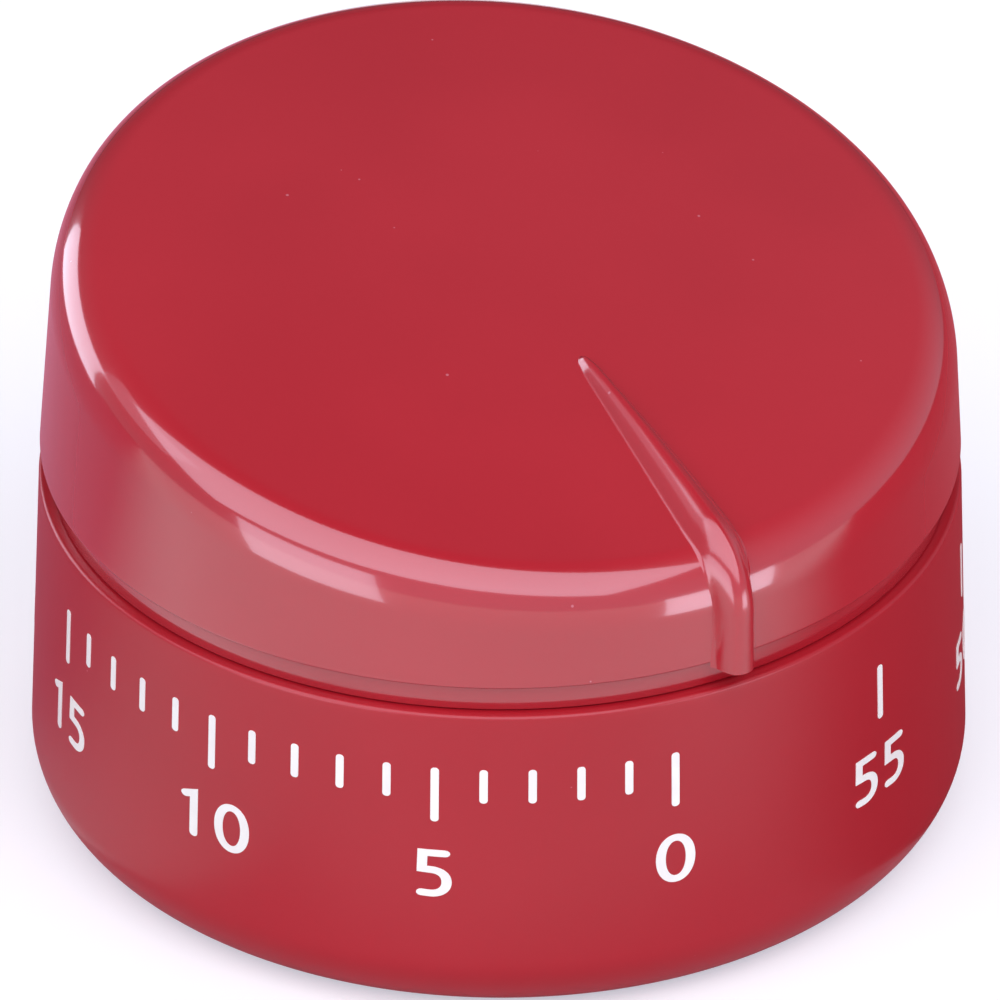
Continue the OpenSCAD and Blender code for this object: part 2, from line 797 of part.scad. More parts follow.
module pillars() {
    color(brass)
        around(pillar_azimuths, pillar_ring_r)
            difference() {
                rod(pillar_r, floor_z, top_plate_z);
                rod(pillar_screw_r + seat, floor_z - cut, floor_z + pillar_screw_len);
                rod(pillar_screw_r + seat, top_plate_z - pillar_screw_len, top_plate_z + cut);
            }
}

module pillar_screws() {
    len = plate_t + pillar_screw_len - free;
    color(steel)
        around(pillar_azimuths, pillar_ring_r) {
            screw(pillar_screw_r, len, pillar_head_r, pillar_head_h, top_plate_z + plate_t);
            translate([0, 0, 2 * bottom_plate_z])
                mirror([0, 0, 1])
                    screw(pillar_screw_r, len, pillar_head_r, pillar_head_h, bottom_plate_z);
        }
}

module movement_screws() {
    color(steel)
        around(movement_screw_azimuths, movement_screw_r)
            screw(screw_r, deck_z - top_plate_z, movement_head_r, movement_head_h, deck_z);
}

module upper_bushes() {
    color(brass)
        bushes(arbor_r, top_plate_z - bush_stand, top_plate_z + plate_t + bush_stand);
}

module lower_bushes() {
    color(brass)
        bushes(foot_pivot_r, bottom_plate_z - bush_stand, floor_z + bush_stand);
}

module spring_post() {
    color(steel)
        at(place(spring_post_ring_r, spring_post_azimuth))
            rod(spring_post_r, bottom_plate_z, spring_z + spring_w + post_over);
}

module mainspring() {
    steps = spring_turns * spring_steps;
    post = place(spring_post_ring_r, spring_post_azimuth);
    end_angle = spring_post_azimuth - 90;
    centre = [for (i = [0:steps]) spring_start_r + (spring_end_r - spring_start_r) * i / steps];
    angles = [for (i = [0:steps]) end_angle - 360 * spring_turns * (1 - i / steps)];
    outside = [for (i = [0:steps]) (centre[i] + spring_t / 2) * [cos(angles[i]), sin(angles[i])]];
    inside = [for (i = [steps:-1:0]) (centre[i] - spring_t / 2) * [cos(angles[i]), sin(angles[i])]];
    color(blued)
        difference() {
            union() {
                translate([0, 0, spring_z])
                    linear_extrude(spring_w)
                        polygon(concat(outside, inside));
                at(post)
                    rod(spring_post_r + running + loop_t, spring_z, spring_z + spring_w);
            }
            at(post)
                rod(spring_post_r + running, spring_z - cut, spring_z + spring_w + cut);
        }
}

module detent_stud() {
    color(steel)
        at(detent_at) {
            rod(rivet_r, cam_z - free, top_plate_z + plate_t);
            rod(stud_r, cam_z - free, cam_z + cam_t + free);
            rod(stud_head_r, cam_z - free - stud_head_h, cam_z - free / 2);
        }
}

module detent_spring() {
    color(blued) {
        at(detent_spring_at)
            rod(rivet_r, cam_z, top_plate_z + plate_t);
        bar(detent_spring_at, detent_press_at, blade_t, cam_z + blade_inset, cam_z + cam_t - blade_inset);
    }
}

// Round bore with a flat, over the given height
module d_section(r, from, to) {
    intersection() {
        rod(r, from, to);
        translate([-2 * r, -2 * r, from - cut])
            cube([3 * r - flat_depth, 4 * r, to - from + 2 * cut]);
    }
}

module dial_cap() {
    lug_at = place(stop_ring_r, pointer_azimuth);
    color(red)
        difference() {
            union() {
                difference() {
                    union() {
                        cap_solid();
                        pointer_ridge();
                        rod(skirt_r, base_h + free, edge_z + cap_wall);
                    }
                    cap_cavity(cap_wall);
                }
                intersection() {
                    union() {
                        rod(hub_r, hub_z, top_z + cap_h);
                        for (i = [0:rib_count - 1])
                            bar([0, 0], place(rib_out_r, pointer_azimuth + 360 * (i + 0.5) / rib_count),
                                rib_t, rib_z, top_z + cap_h);
                        at(lug_at)
                            rod(stop_lug_r, deck_z + stop_lug_gap, top_z);
                    }
                    cap_cavity(cap_wall / 2);
                }
            }
            d_section(arbor_r + seat, hub_z - cut, arbor_top + hub_roof / 2);
        }
}

module hub_ring() {
    color(steel)
        ring(hub_r + seat + hub_ring_t, hub_r + seat, hub_ring_z, hub_ring_z + hub_ring_h);
}

module main_arbor() {
    color(steel) {
        rod(foot_pivot_r, bottom_plate_z + shake, main_z);
        rod(core_r, floor_z + bush_stand + shake, main_z - shake);
        rod(arbor_r, main_z - level_gap, hub_z - free);
        d_section(arbor_r, hub_z - free, arbor_top);
    }
}

module ratchet_wheel() {
    root_r = ratchet_r - ratchet_depth;
    color(steel)
        difference() {
            translate([0, 0, ratchet_z])
                rotate([0, 0, click_azimuth - 90 - click_span - nose_lead])
                    linear_extrude(ratchet_t)
                        polygon(star_outline(ratchet_teeth, ratchet_r, root_r, ratchet_lead));
            rod(arbor_r + seat, ratchet_z - cut, ratchet_z + ratchet_t + cut);
        }
}

module cam_disc() {
    notch = [for (t = [-1, 1]) place(2 * cam_r, notch_azimuth + t * notch_span / 2)];
    color(steel)
        difference() {
            union() {
                rod(cam_r, cam_z, cam_z + cam_t);
                rod(cam_hub_r, ratchet_z + ratchet_t + ratchet_gap, cam_z + cam_t);
            }
            rod(arbor_r + seat, ratchet_z, cam_z + cam_t + cut);
            difference() {
                translate([0, 0, cam_z - cut])
                    linear_extrude(cam_t + 2 * cut)
                        polygon([[0, 0], notch[0], notch[1]]);
                rod(cam_r - notch_depth, cam_z - 2 * cut, cam_z + cam_t + 2 * cut);
            }
        }
}

module arbor_washer() {
    washer_z = top_plate_z - bush_stand - shake - washer_t;
    color(brass)
        ring(cam_hub_r, arbor_r + seat, washer_z, washer_z + washer_t);
}

// Toothed wheel with weight holes, on its own axis, with a tooth towards +X
module toothed_wheel(teeth, m, bore_r, z, t) {
    web_in = bore_r + hub_web;
    web_out = m * teeth / 2 - tooth_depth * m - rim_web;
    difference() {
        translate([0, 0, z])
            linear_extrude(t)
                polygon(wheel_outline(teeth, m));
        rod(bore_r, z - cut, z + t + cut);
        weight_holes(hole_count, (web_out + web_in) / 2, (web_out - web_in) / 2, z, z + t);
    }
}

module main_wheel() {
    color(brass)
        difference() {
            translate([0, 0, main_z])
                linear_extrude(main_t)
                    rotate([0, 0, heading([0, 0], second_at)])
                        polygon(wheel_outline(main_teeth, main_m));
            rod(arbor_r + running, main_z - cut, main_z + main_t + cut);
            at(click_at)
                rod(click_stud_r + seat, main_z - cut, main_z + main_t + cut);
            at(click_spring_at)
                rod(click_spring_post_r + seat, main_z - cut, main_z + main_t + cut);
        }
}

module click_stud() {
    color(steel)
        at(click_at) {
            rod(click_stud_r, main_z, ratchet_z + ratchet_t + click_head_h);
            rod(click_head_r, ratchet_z + ratchet_t + click_head_gap,
                ratchet_z + ratchet_t + click_head_gap + click_head_h);
        }
}

module click_spring() {
    color(blued) {
        at(click_spring_at)
            rod(click_spring_post_r, main_z, ratchet_z + ratchet_t);
        bar(click_spring_at, click_press_at, blade_t, ratchet_z + blade_inset,
            ratchet_z + ratchet_t - blade_inset);
    }
}

module click() {
    color(steel)
        difference() {
            union() {
                at(click_at)
                    rod(click_hub_r, ratchet_z, ratchet_z + ratchet_t);
                bar(click_nose_at, click_at, click_bar_w, ratchet_z, ratchet_z + ratchet_t);
                at(click_nose_at)
                    rod(nose_r, ratchet_z, ratchet_z + ratchet_t);
            }
            at(click_at)
                rod(click_stud_r + running, ratchet_z - cut, ratchet_z + ratchet_t + cut);
        }
}

// Shaft between the plates, with a pivot at each end
module plain_staff() {
    rod(pivot_r, bottom_plate_z, top_plate_z + plate_t);
    rod(shaft_r, floor_z + bush_stand + shake, top_plate_z - bush_stand - shake);
}

// Train arbor: a staff with a pinion at a wheel's level
module train_arbor(m, turn, from, to) {
    plain_staff();
    translate([0, 0, from - face_over])
        rotate([0, 0, turn])
            linear_extrude(to - from + 2 * face_over)
                polygon(pinion_outline(m));
}

module second_arbor() {
    color(steel)
        at(second_at)
            train_arbor(main_m, heading(second_at, [0, 0]) + 180 / leaves, main_z, main_z + main_t);
}

module second_wheel() {
    color(brass)
        at(second_at)
            rotate([0, 0, heading(second_at, third_at)])
                toothed_wheel(second_teeth, second_m, shaft_r + seat, second_z, wheel_t);
}

module star_wheel() {
    color(brass)
        at(second_at)
            difference() {
                translate([0, 0, lever_z])
                    linear_extrude(lever_t)
                        polygon(star_outline(star_teeth, star_r, star_r - star_depth, 0.5));
                rod(shaft_r + seat, lever_z - cut, lever_z + lever_t + cut);
            }
}

module third_arbor() {
    color(steel)
        at(third_at)
            train_arbor(second_m, heading(third_at, second_at) + 180 / leaves, second_z,
                second_z + wheel_t);
}

module third_wheel() {
    color(brass)
        at(third_at)
            rotate([0, 0, heading(third_at, escape_at)])
                toothed_wheel(third_teeth, third_m, shaft_r + seat, third_z, wheel_t);
}

module escape_arbor() {
    color(steel)
        at(escape_at)
            train_arbor(third_m, heading(escape_at, third_at) + 180 / leaves, third_z,
                third_z + wheel_t);
}

module escape_wheel() {
    color(brass)
        at(escape_at)
            difference() {
                translate([0, 0, escape_z])
                    linear_extrude(wheel_t)
                        polygon(star_outline(escape_teeth, escape_r, escape_r - escape_tooth_h, escape_lead));
                rod(shaft_r + seat, escape_z - cut, escape_z + wheel_t + cut);
                weight_holes(escape_hole_count, escape_r / 2, escape_r / 5, escape_z, escape_z + wheel_t);
            }
}

module pallet_staff() {
    color(steel)
        at(balance_at)
            plain_staff();
}

module pallet_lever() {
    pin_ring_r = escape_r + pin_r + pin_gap;
    lever_dir = heading(escape_at, balance_at);
    color(steel)
        difference() {
            union() {
                at(balance_at)
                    rod(shaft_r + bush_wall, pallet_z, pallet_z + wheel_t);
                for (side = [-pin_spread, pin_spread]) {
                    pin_at = escape_at + pin_ring_r * [cos(lever_dir + side), sin(lever_dir + side)];
                    bar(balance_at, pin_at, arm_w, pallet_z, pallet_z + wheel_t);
                    at(pin_at) {
                        rod(tip_r, pallet_z, pallet_z + wheel_t);
                        rod(pin_r, escape_z - pin_over, pallet_z + wheel_t / 2);
                    }
                }
            }
            at(balance_at)
                rod(shaft_r + seat, pallet_z - cut, pallet_z + wheel_t + cut);
        }
}

module balance_wheel() {
    color(brass)
        at(balance_at)
            difference() {
                union() {
                    ring(balance_r, balance_r - balance_rim_t, balance_z, balance_z + balance_t);
                    rod(shaft_r + bush_wall, balance_z, balance_z + balance_t);
                    translate([-balance_r + balance_rim_t / 2, -bar_w / 2, balance_z])
                        cube([2 * balance_r - balance_rim_t, bar_w, balance_t]);
                }
                rod(shaft_r + seat, balance_z - cut, balance_z + balance_t + cut);
            }
}

module hammer_staff() {
    color(steel)
        at(hammer_at)
            plain_staff();
}

module hammer_lever() {
    color(steel)
        difference() {
            union() {
                at(hammer_at)
                    rod(lever_hub_r, lever_z, lever_z + lever_t);
                bar(hammer_at, tail_at, arm_w, lever_z, lever_z + lever_t);
                at(tail_at)
                    rod(tip_r, lever_z, lever_z + lever_t);
                bar(hammer_at, head_at, bar_w, lever_z, lever_z + lever_t);
                at(head_at)
                    rod(rod_r + bush_wall, lever_z, lever_z + lever_t);
            }
            at(hammer_at)
                rod(shaft_r + seat, lever_z - cut, lever_z + lever_t + cut);
            at(head_at)
                rod(rod_r + seat, lever_z - cut, lever_z + lever_t + cut);
        }
}

module hammer_rod() {
    color(steel)
        at(head_at)
            rod(rod_r, gong_rim_z + head_lift, lever_z + lever_t);
}

module hammer_head() {
    color(brass)
        at(head_at)
            ring(head_r, rod_r + seat, gong_rim_z + head_lift, gong_rim_z + head_lift + head_h);
}

module catch_arm() {
    color(steel)
        difference() {
            union() {
                at(hammer_at)
                    rod(shaft_r + bush_wall, cam_z, cam_z + cam_t);
                bar(hammer_at, catch_tip_at, arm_w, cam_z, cam_z + cam_t);
                at(catch_tip_at)
                    rod(tip_r, cam_z, cam_z + cam_t);
            }
            at(hammer_at)
                rod(shaft_r + seat, cam_z - cut, cam_z + cam_t + cut);
        }
}

module detent_lever() {
    color(steel)
        difference() {
            union() {
                at(detent_at)
                    rod(stud_r + running + bush_wall, cam_z, cam_z + cam_t);
                for (p = [detent_nose_at, detent_tip_at]) {
                    bar(detent_at, p, arm_w, cam_z, cam_z + cam_t);
                    at(p)
                        rod(tip_r, cam_z, cam_z + cam_t);
                }
            }
            at(detent_at)
                rod(stud_r + running, cam_z - cut, cam_z + cam_t + cut);
        }
}

base_shell();
bottom_cover();
cover_screws();
foot_ring();
gong();
gong_screw();
top_plate();
bottom_plate();
pillars();
pillar_screws();
movement_screws();
upper_bushes();
lower_bushes();
spring_post();
mainspring();
detent_stud();
detent_spring();
dial_cap();
hub_ring();
main_arbor();
ratchet_wheel();
cam_disc();
arbor_washer();
main_wheel();
click_stud();
click_spring();
click();
second_arbor();
second_wheel();
star_wheel();
third_arbor();
third_wheel();
escape_arbor();
escape_wheel();
pallet_staff();
pallet_lever();
balance_wheel();
hammer_staff();
hammer_lever();
hammer_rod();
hammer_head();
catch_arm();
detent_lever();
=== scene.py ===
"""Dresses the wind-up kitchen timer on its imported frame.

Sizes are in millimetres and become metres when a mesh becomes an object.
An azimuth counts degrees from the front (-Y) towards the right (+X).
"""

from __future__ import annotations

import logging
import math
from dataclasses import dataclass, field
from enum import Enum
from typing import Any, Iterable, Sequence, Union

import bmesh
import bpy
from mathutils import Matrix, Quaternion, Vector


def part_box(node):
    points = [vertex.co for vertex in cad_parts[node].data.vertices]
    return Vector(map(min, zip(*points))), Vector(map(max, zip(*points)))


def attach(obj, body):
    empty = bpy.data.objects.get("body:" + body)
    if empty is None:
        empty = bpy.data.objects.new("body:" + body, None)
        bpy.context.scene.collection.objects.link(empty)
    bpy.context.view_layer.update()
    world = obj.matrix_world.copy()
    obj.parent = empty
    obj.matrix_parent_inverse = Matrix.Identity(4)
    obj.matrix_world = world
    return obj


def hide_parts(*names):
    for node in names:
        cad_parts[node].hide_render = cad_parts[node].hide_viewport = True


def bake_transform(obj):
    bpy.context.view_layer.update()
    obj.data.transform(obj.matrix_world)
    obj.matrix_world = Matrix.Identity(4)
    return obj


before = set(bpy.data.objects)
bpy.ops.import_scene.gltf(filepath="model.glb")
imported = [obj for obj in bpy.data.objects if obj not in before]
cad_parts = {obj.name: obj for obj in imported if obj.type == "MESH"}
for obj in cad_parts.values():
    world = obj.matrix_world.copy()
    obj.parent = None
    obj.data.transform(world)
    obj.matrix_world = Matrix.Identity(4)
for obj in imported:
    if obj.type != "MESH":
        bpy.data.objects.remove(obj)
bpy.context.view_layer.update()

MM = 0.001
FULL_TURN = 2.0 * math.pi
MERGE = 1e-4
TINY = 1e-5
log = logging.getLogger("timer")

Point = tuple[float, float]
Outline = list[Point]
Colour = tuple[float, float, float]
Curve = tuple[Point, Point, Point, int]
Box = tuple[float, float, float, float]
Shape = bmesh.types.BMesh
Vert = bmesh.types.BMVert
Face = bmesh.types.BMFace
Material = bpy.types.Material
Node = bpy.types.Node
Socket = bpy.types.NodeSocket
Feed = Union[Socket, float, int, Sequence[float]]


class Body(str, Enum):
    """Moving bodies of the frame that new pieces ride on."""

    CASE = "case"
    DIAL = "dial"
    MAIN_DRIVE = "main_drive"
    CLICK = "click"


class Slot(str, Enum):
    """Names of material slots that each new piece is listed with."""

    RED_PLASTIC = "red_plastic"
    FOOT_RUBBER = "foot_rubber"
    STEEL = "steel"
    BLUED_STEEL = "blued_steel"
    SCALE_PRINT = "scale_print"


class Shines(Enum):
    """What a light panel is seen by: only gloss, or only matt colour."""

    GLOSS = "gloss"
    MATT = "matt"


class Grain(Enum):
    """Ways that a metal surface was worked."""

    TURNED = "turned"
    BRUSHED = "brushed"


# Shapes shared by the sub-assemblies


def on_ring(radius: float, azimuth: float, height: float) -> Vector:
    """Places a point by its distance from the axis.

    Args:
        radius: Distance from the axis.
        azimuth: Degrees from the front towards the right.
        height: Height above the table.

    Returns:
        The point in the frame.
    """
    turn = math.radians(azimuth)
    return Vector((radius * math.sin(turn), -radius * math.cos(turn), height))


def azimuth_of(point: Vector) -> float:
    """Degrees of a point from the front towards the right."""
    return math.degrees(math.atan2(point.x, -point.y))


def arc(centre: Point, radius: float, start: float, end: float, steps: int) -> Outline:
    """Points along an arc of a profile.

    Args:
        centre: Middle of the arc.
        radius: Radius of the arc.
        start: First angle in degrees.
        end: Last angle in degrees.
        steps: Number of equal steps.

    Returns:
        The points from start to end.
    """
    turns = [math.radians(start + (end - start) * i / steps) for i in range(steps + 1)]
    return [(centre[0] + radius * math.cos(t), centre[1] + radius * math.sin(t)) for t in turns]


def between(start: Point, end: Point, shares: Iterable[float]) -> Outline:
    """Points on a straight line at the given shares of its length."""
    return [(start[0] + (end[0] - start[0]) * s, start[1] + (end[1] - start[1]) * s) for s in shares]


def smooth_step(share: float) -> float:
    """Eases a share from 0 to 1 with level ends."""
    t = min(1.0, max(0.0, share))
    return t * t * (3.0 - 2.0 * t)


def read_curve(knots: Outline, place: float) -> float:
    """Reads a value between the knots of a curve.

    Args:
        knots: Places with their values, in order.
        place: Where to read.

    Returns:
        The value, held at both ends.
    """
    for (a, low), (b, high) in zip(knots, knots[1:]):
        if place <= b:
            return low + (high - low) * max(0.0, (place - a) / (b - a))
    return knots[-1][1]


def area_right(knots: Outline, place: float) -> float:
    """Area under a curve from a place to its last knot.

    Args:
        knots: Places with their values, in order.
        place: Where the area starts.

    Returns:
        The area.
    """
    area = 0.0
    for (a, low), (b, high) in zip(knots, knots[1:]):
        start = min(b, max(a, place))
        area += (b - start) * (low + (high - low) * (start - a) / (b - a) + high) / 2
    return area


def bezier(start: Point, first: Point, second: Point, end: Point, steps: int) -> Outline:
    """Points along a cubic curve.

    Args:
        start: First point.
        first: Handle of the first point.
        second: Handle of the last point.
        end: Last point.
        steps: Number of steps.

    Returns:
        The points after start, up to end.
    """
    points = []
    for i in range(1, steps + 1):
        t = i / steps
        a, b, c, d = (1 - t) ** 3, 3 * t * (1 - t) ** 2, 3 * t * t * (1 - t), t ** 3
        points.append(tuple(a * p + b * q + c * r + d * s for p, q, r, s in zip(start, first, second, end)))
    return points


def trace(start: Point, *runs: Point | Curve) -> Outline:
    """Points along a path of straight and curved runs.

    Args:
        start: First point.
        *runs: For each run the end of a straight one, or the handles, end and steps of a curved one.

    Returns:
        All points of the path.
    """
    path = [start]
    for run in runs:
        path += bezier(path[-1], *run) if len(run) == 4 else [run]
    return path


def heading(turn: float) -> Vector:
    """Direction at an angle in radians."""
    return Vector((math.cos(turn), math.sin(turn)))


def only(kind: type, geom: Iterable[Any]) -> list:
    """Keeps the parts of a mesh that are of one kind."""
    return [g for g in geom if isinstance(g, kind)]


def corners_of(faces: Iterable[Face]) -> set[Vert]:
    """Vertices of some faces."""
    return {v for f in faces for v in f.verts}


def turn_verts(bm: Shape, verts: list[Vert], azimuth: float) -> None:
    """Turns a part of a mesh about the axis, by an angle in degrees."""
    bmesh.ops.rotate(bm, verts=verts, cent=(0, 0, 0), matrix=Matrix.Rotation(math.radians(azimuth), 3, "Z"))


def block(bm: Shape, size: Sequence[float], middle: Point, azimuth: float) -> list[Vert]:
    """Adds a box that points away from the axis.

    Args:
        bm: Mesh that gets the box.
        size: Its width, its length away from the axis and its height.
        middle: Distance of its middle from the axis, and height.
        azimuth: Azimuth that it points to.

    Returns:
        The vertices of the box.
    """
    verts = bmesh.ops.create_cube(bm, size=1.0)["verts"]
    bmesh.ops.scale(bm, verts=verts, vec=size)
    bmesh.ops.translate(bm, verts=verts, vec=(0.0, -middle[0], middle[1]))
    turn_verts(bm, verts, azimuth)
    return verts


def add_object(name: str, data: bpy.types.ID) -> bpy.types.Object:
    """Adds an object to the scene.

    Args:
        name: Name of the object.
        data: Its mesh, curve, light or camera.

    Returns:
        The object, at the origin.
    """
    made = bpy.data.objects.new(name, data)
    bpy.context.scene.collection.objects.link(made)
    return made


class Lathe:
    """Turns profiles into round shapes inside a bmesh."""

    post_ease = 0.15
    post_steps = 40

    @staticmethod
    def turn(bm: Shape, profile: Outline, steps: int, closed: bool = True) -> list[Vert]:
        """Spins a profile about the axis.

        Args:
            bm: Mesh that gets the shape.
            profile: Points as distance from the axis and height.
            steps: Number of steps round the axis.
            closed: Whether the last point joins the first.

        Returns:
            The vertices of the new shape.
        """
        old = set(bm.verts)
        verts = [bm.verts.new((r, 0.0, z)) for r, z in profile]
        follow = verts[1:] + (verts[:1] if closed else [])
        edges = [bm.edges.new(pair) for pair in zip(verts, follow)]
        bmesh.ops.spin(
            bm, geom=verts + edges, cent=(0, 0, 0), axis=(0, 0, 1), dvec=(0, 0, 0),
            angle=FULL_TURN, steps=steps, use_merge=True,
        )
        return [v for v in bm.verts if v not in old]

    @classmethod
    def post(cls, bm: Shape, spot: Point, radius: float, low: float, high: float,
             bore: float = 0.0) -> list[Vert]:
        """Adds an upright round post with eased ends.

        Args:
            bm: Mesh that gets the post.
            spot: Its distance from the axis and azimuth.
            radius: Radius of the post.
            low: Height of its lower end.
            high: Height of its upper end.
            bore: Radius of a hole through it, or 0.

        Returns:
            The vertices of the post.
        """
        ease = cls.post_ease
        profile = [(bore, low), (radius - ease, low), (radius, low + ease),
                   (radius, high - ease), (radius - ease, high), (bore, high)]
        verts = cls.turn(bm, profile, cls.post_steps, closed=bore > 0.0)
        bmesh.ops.translate(bm, verts=verts, vec=on_ring(spot[0], spot[1], 0.0))
        return verts


@dataclass(frozen=True)
class Bend:
    """Stretch of a springy piece between its own body and another; only whether it is given is read, and then
    the piece stays loose in place.
    """

    body: Body
    start: Vector
    end: Vector


@dataclass(frozen=True)
class Piece:
    """Where a finished mesh goes in the frame."""

    name: str
    body: Body
    slot: Slot
    replaces: tuple[str, ...] = ()
    sharp_degrees: float = 35.0
    bend: Bend | None = None

    def make(self, bm: Shape, material: Material) -> bpy.types.Object:
        """Turns a bmesh in millimetres into a piece that rides on its body, or stays loose in place when it
        has a bend.

        Args:
            bm: Finished shape, which is freed.
            material: Finish of the piece.

        Returns:
            The new object, at the origin.
        """
        bmesh.ops.remove_doubles(bm, verts=bm.verts, dist=MERGE)
        bmesh.ops.dissolve_degenerate(bm, dist=TINY, edges=bm.edges)
        bmesh.ops.recalc_face_normals(bm, faces=bm.faces)
        bmesh.ops.transform(bm, matrix=Matrix.Scale(MM, 4), verts=bm.verts)
        mesh = bpy.data.meshes.new(self.name)
        bm.to_mesh(mesh)
        bm.free()
        mesh.shade_smooth()
        mesh.set_sharp_from_angle(angle=math.radians(self.sharp_degrees))
        mesh.materials.append(material)
        piece = add_object(self.name, mesh)
        if self.bend:
            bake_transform(piece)
        else:
            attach(piece, self.body.value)
        if self.replaces:
            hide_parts(*self.replaces)
        log.info("%s: %d faces, rides on %s", self.name, len(mesh.polygons), self.body.value)
        return piece


# Node groups and finishes


class Bench:
    """Places and links the nodes of one shader tree."""

    def __init__(self, tree: bpy.types.NodeTree) -> None:
        """Starts on an empty tree."""
        self.tree = tree
        tree.nodes.clear()

    def put(self, kind: str, inputs: dict[Any, Feed] | None = None, **settings: Any) -> Node:
        """Adds a node.

        Args:
            kind: Blender's node type.
            inputs: Values or sockets by input name or index.
            **settings: Properties of the node.

        Returns:
            The node.
        """
        node = self.tree.nodes.new(kind)
        for name, value in settings.items():
            setattr(node, name, value)
        for key, value in (inputs or {}).items():
            self.feed(value, node.inputs[key])
        return node

    def feed(self, value: Feed, socket: Socket) -> None:
        """Links a socket to an input, or sets the input's own value.

        Args:
            value: Socket or plain value.
            socket: Input that gets it.
        """
        if isinstance(value, Socket):
            self.tree.links.new(value, socket)
        else:
            socket.default_value = value

    def math(self, operation: str, first: Feed, second: Feed = 0.0, clamp: bool = False) -> Socket:
        """Adds a math node and returns its value."""
        node = self.put("ShaderNodeMath", {0: first, 1: second}, operation=operation, use_clamp=clamp)
        return node.outputs[0]

    def choose(self, share: Feed, first: Feed, second: Feed) -> Socket:
        """Adds a mix of two values and returns its value."""
        return self.put("ShaderNodeMix", {0: share, 2: first, 3: second}).outputs[0]

    def mix(self, share: Feed, first: Feed, second: Feed) -> Socket:
        """Adds a colour mix and returns its colour."""
        return self.put("ShaderNodeMix", {0: share, 6: first, 7: second}, data_type="RGBA").outputs[2]

    def spread(self, value: Feed, low: Feed, high: Feed, to_low: Feed, to_high: Feed) -> Socket:
        """Maps a value from one range to another, with a smooth course."""
        return self.put("ShaderNodeMapRange", {0: value, 1: low, 2: high, 3: to_low, 4: to_high},
                        interpolation_type="SMOOTHSTEP").outputs[0]

    def noise(self, vector: Feed, scale: Feed, detail: float = 2.0, rough: float = 0.5) -> Socket:
        """Adds a noise texture and returns its value."""
        return self.put("ShaderNodeTexNoise", {
            "Vector": vector, "Scale": scale, "Detail": detail, "Roughness": rough}).outputs[0]


@dataclass(frozen=True)
class Port:
    """Named input or output of a node group."""

    name: str
    kind: str = "NodeSocketFloat"
    value: Feed = 0.0


PLACE = Port("Vector", "NodeSocketVector")


class Effect:
    """Surface effect that several finishes share, as a node group that is built once."""

    name = "effect"
    inputs: tuple[Port, ...] = ()
    outputs: tuple[Port, ...] = ()

    @classmethod
    def group(cls) -> bpy.types.NodeTree:
        """Finds the node group, or makes it the first time.

        Returns:
            The node group.
        """
        found = bpy.data.node_groups.get(cls.name)
        if found:
            return found
        tree = bpy.data.node_groups.new(cls.name, "ShaderNodeTree")
        for port in cls.inputs:
            socket = tree.interface.new_socket(port.name, in_out="INPUT", socket_type=port.kind)
            if port.kind != "NodeSocketVector":
                socket.default_value = port.value
        for port in cls.outputs:
            tree.interface.new_socket(port.name, in_out="OUTPUT", socket_type=port.kind)
        bench = Bench(tree)
        given = bench.put("NodeGroupInput").outputs
        results = cls.draw(bench, given)
        end = bench.put("NodeGroupOutput")
        for port, result in zip(cls.outputs, results):
            bench.feed(result, end.inputs[port.name])
        return tree

    @classmethod
    def draw(cls, bench: Bench, given: Any) -> Sequence[Socket]:
        """Draws the group's nodes and returns one socket per output."""
        raise NotImplementedError

    @classmethod
    def use(cls, bench: Bench, **values: Feed) -> Any:
        """Places the group in a material.

        Args:
            bench: The material's tree.
            **values: Inputs by name, with _ for a space.

        Returns:
            The outputs of the group node.
        """
        node = bench.put("ShaderNodeGroup", node_tree=cls.group())
        for name, value in values.items():
            bench.feed(value, node.inputs[name.replace("_", " ")])
        return node.outputs


class ColourDrift(Effect):
    """Slow drift between two close tones, with a little fine mottle."""

    name = "colour_drift"
    inputs = (PLACE, Port("Scale", value=60.0), Port("Mottle", value=0.2),
              Port("Tone", "NodeSocketColor", (0.5, 0.5, 0.5, 1.0)),
              Port("Other Tone", "NodeSocketColor", (0.4, 0.4, 0.4, 1.0)))
    outputs = (Port("Color", "NodeSocketColor"),)

    @classmethod
    def draw(cls, bench: Bench, given: Any) -> Sequence[Socket]:
        """Mixes the two tones by slow and fine noise.

        Args:
            bench: The group's tree.
            given: Inputs of the group by name.

        Returns:
            One socket per output.
        """
        slow = bench.noise(given["Vector"], given["Scale"], 2.0)
        fine = bench.noise(given["Vector"], bench.math("MULTIPLY", given["Scale"], 40.0), 3.0, 0.6)
        wide = bench.spread(slow, 0.3, 0.7, 0.0, 1.0)
        mottle = bench.math("MULTIPLY", bench.math("SUBTRACT", fine, 0.5), given["Mottle"])
        share = bench.math("ADD", wide, mottle, clamp=True)
        return [bench.mix(share, given["Tone"], given["Other Tone"])]


class MouldedSkin(Effect):
    """Skin of a moulded part: a slow wave left by cooling, and a very fine grain."""

    name = "moulded_skin"
    inputs = (PLACE, Port("Wave Scale", value=90.0), Port("Grain Scale", value=6000.0),
              Port("Grain Share", value=0.1))
    outputs = (Port("Height"),)

    @classmethod
    def draw(cls, bench: Bench, given: Any) -> Sequence[Socket]:
        """Adds the grain to the wave.

        Args:
            bench: The group's tree.
            given: Inputs of the group by name.

        Returns:
            One socket per output.
        """
        wave = bench.noise(given["Vector"], given["Wave Scale"], 1.0, 0.4)
        grain = bench.noise(given["Vector"], given["Grain Scale"], 2.0, 0.5)
        return [bench.math("ADD", wave, bench.math("MULTIPLY", grain, given["Grain Share"]))]


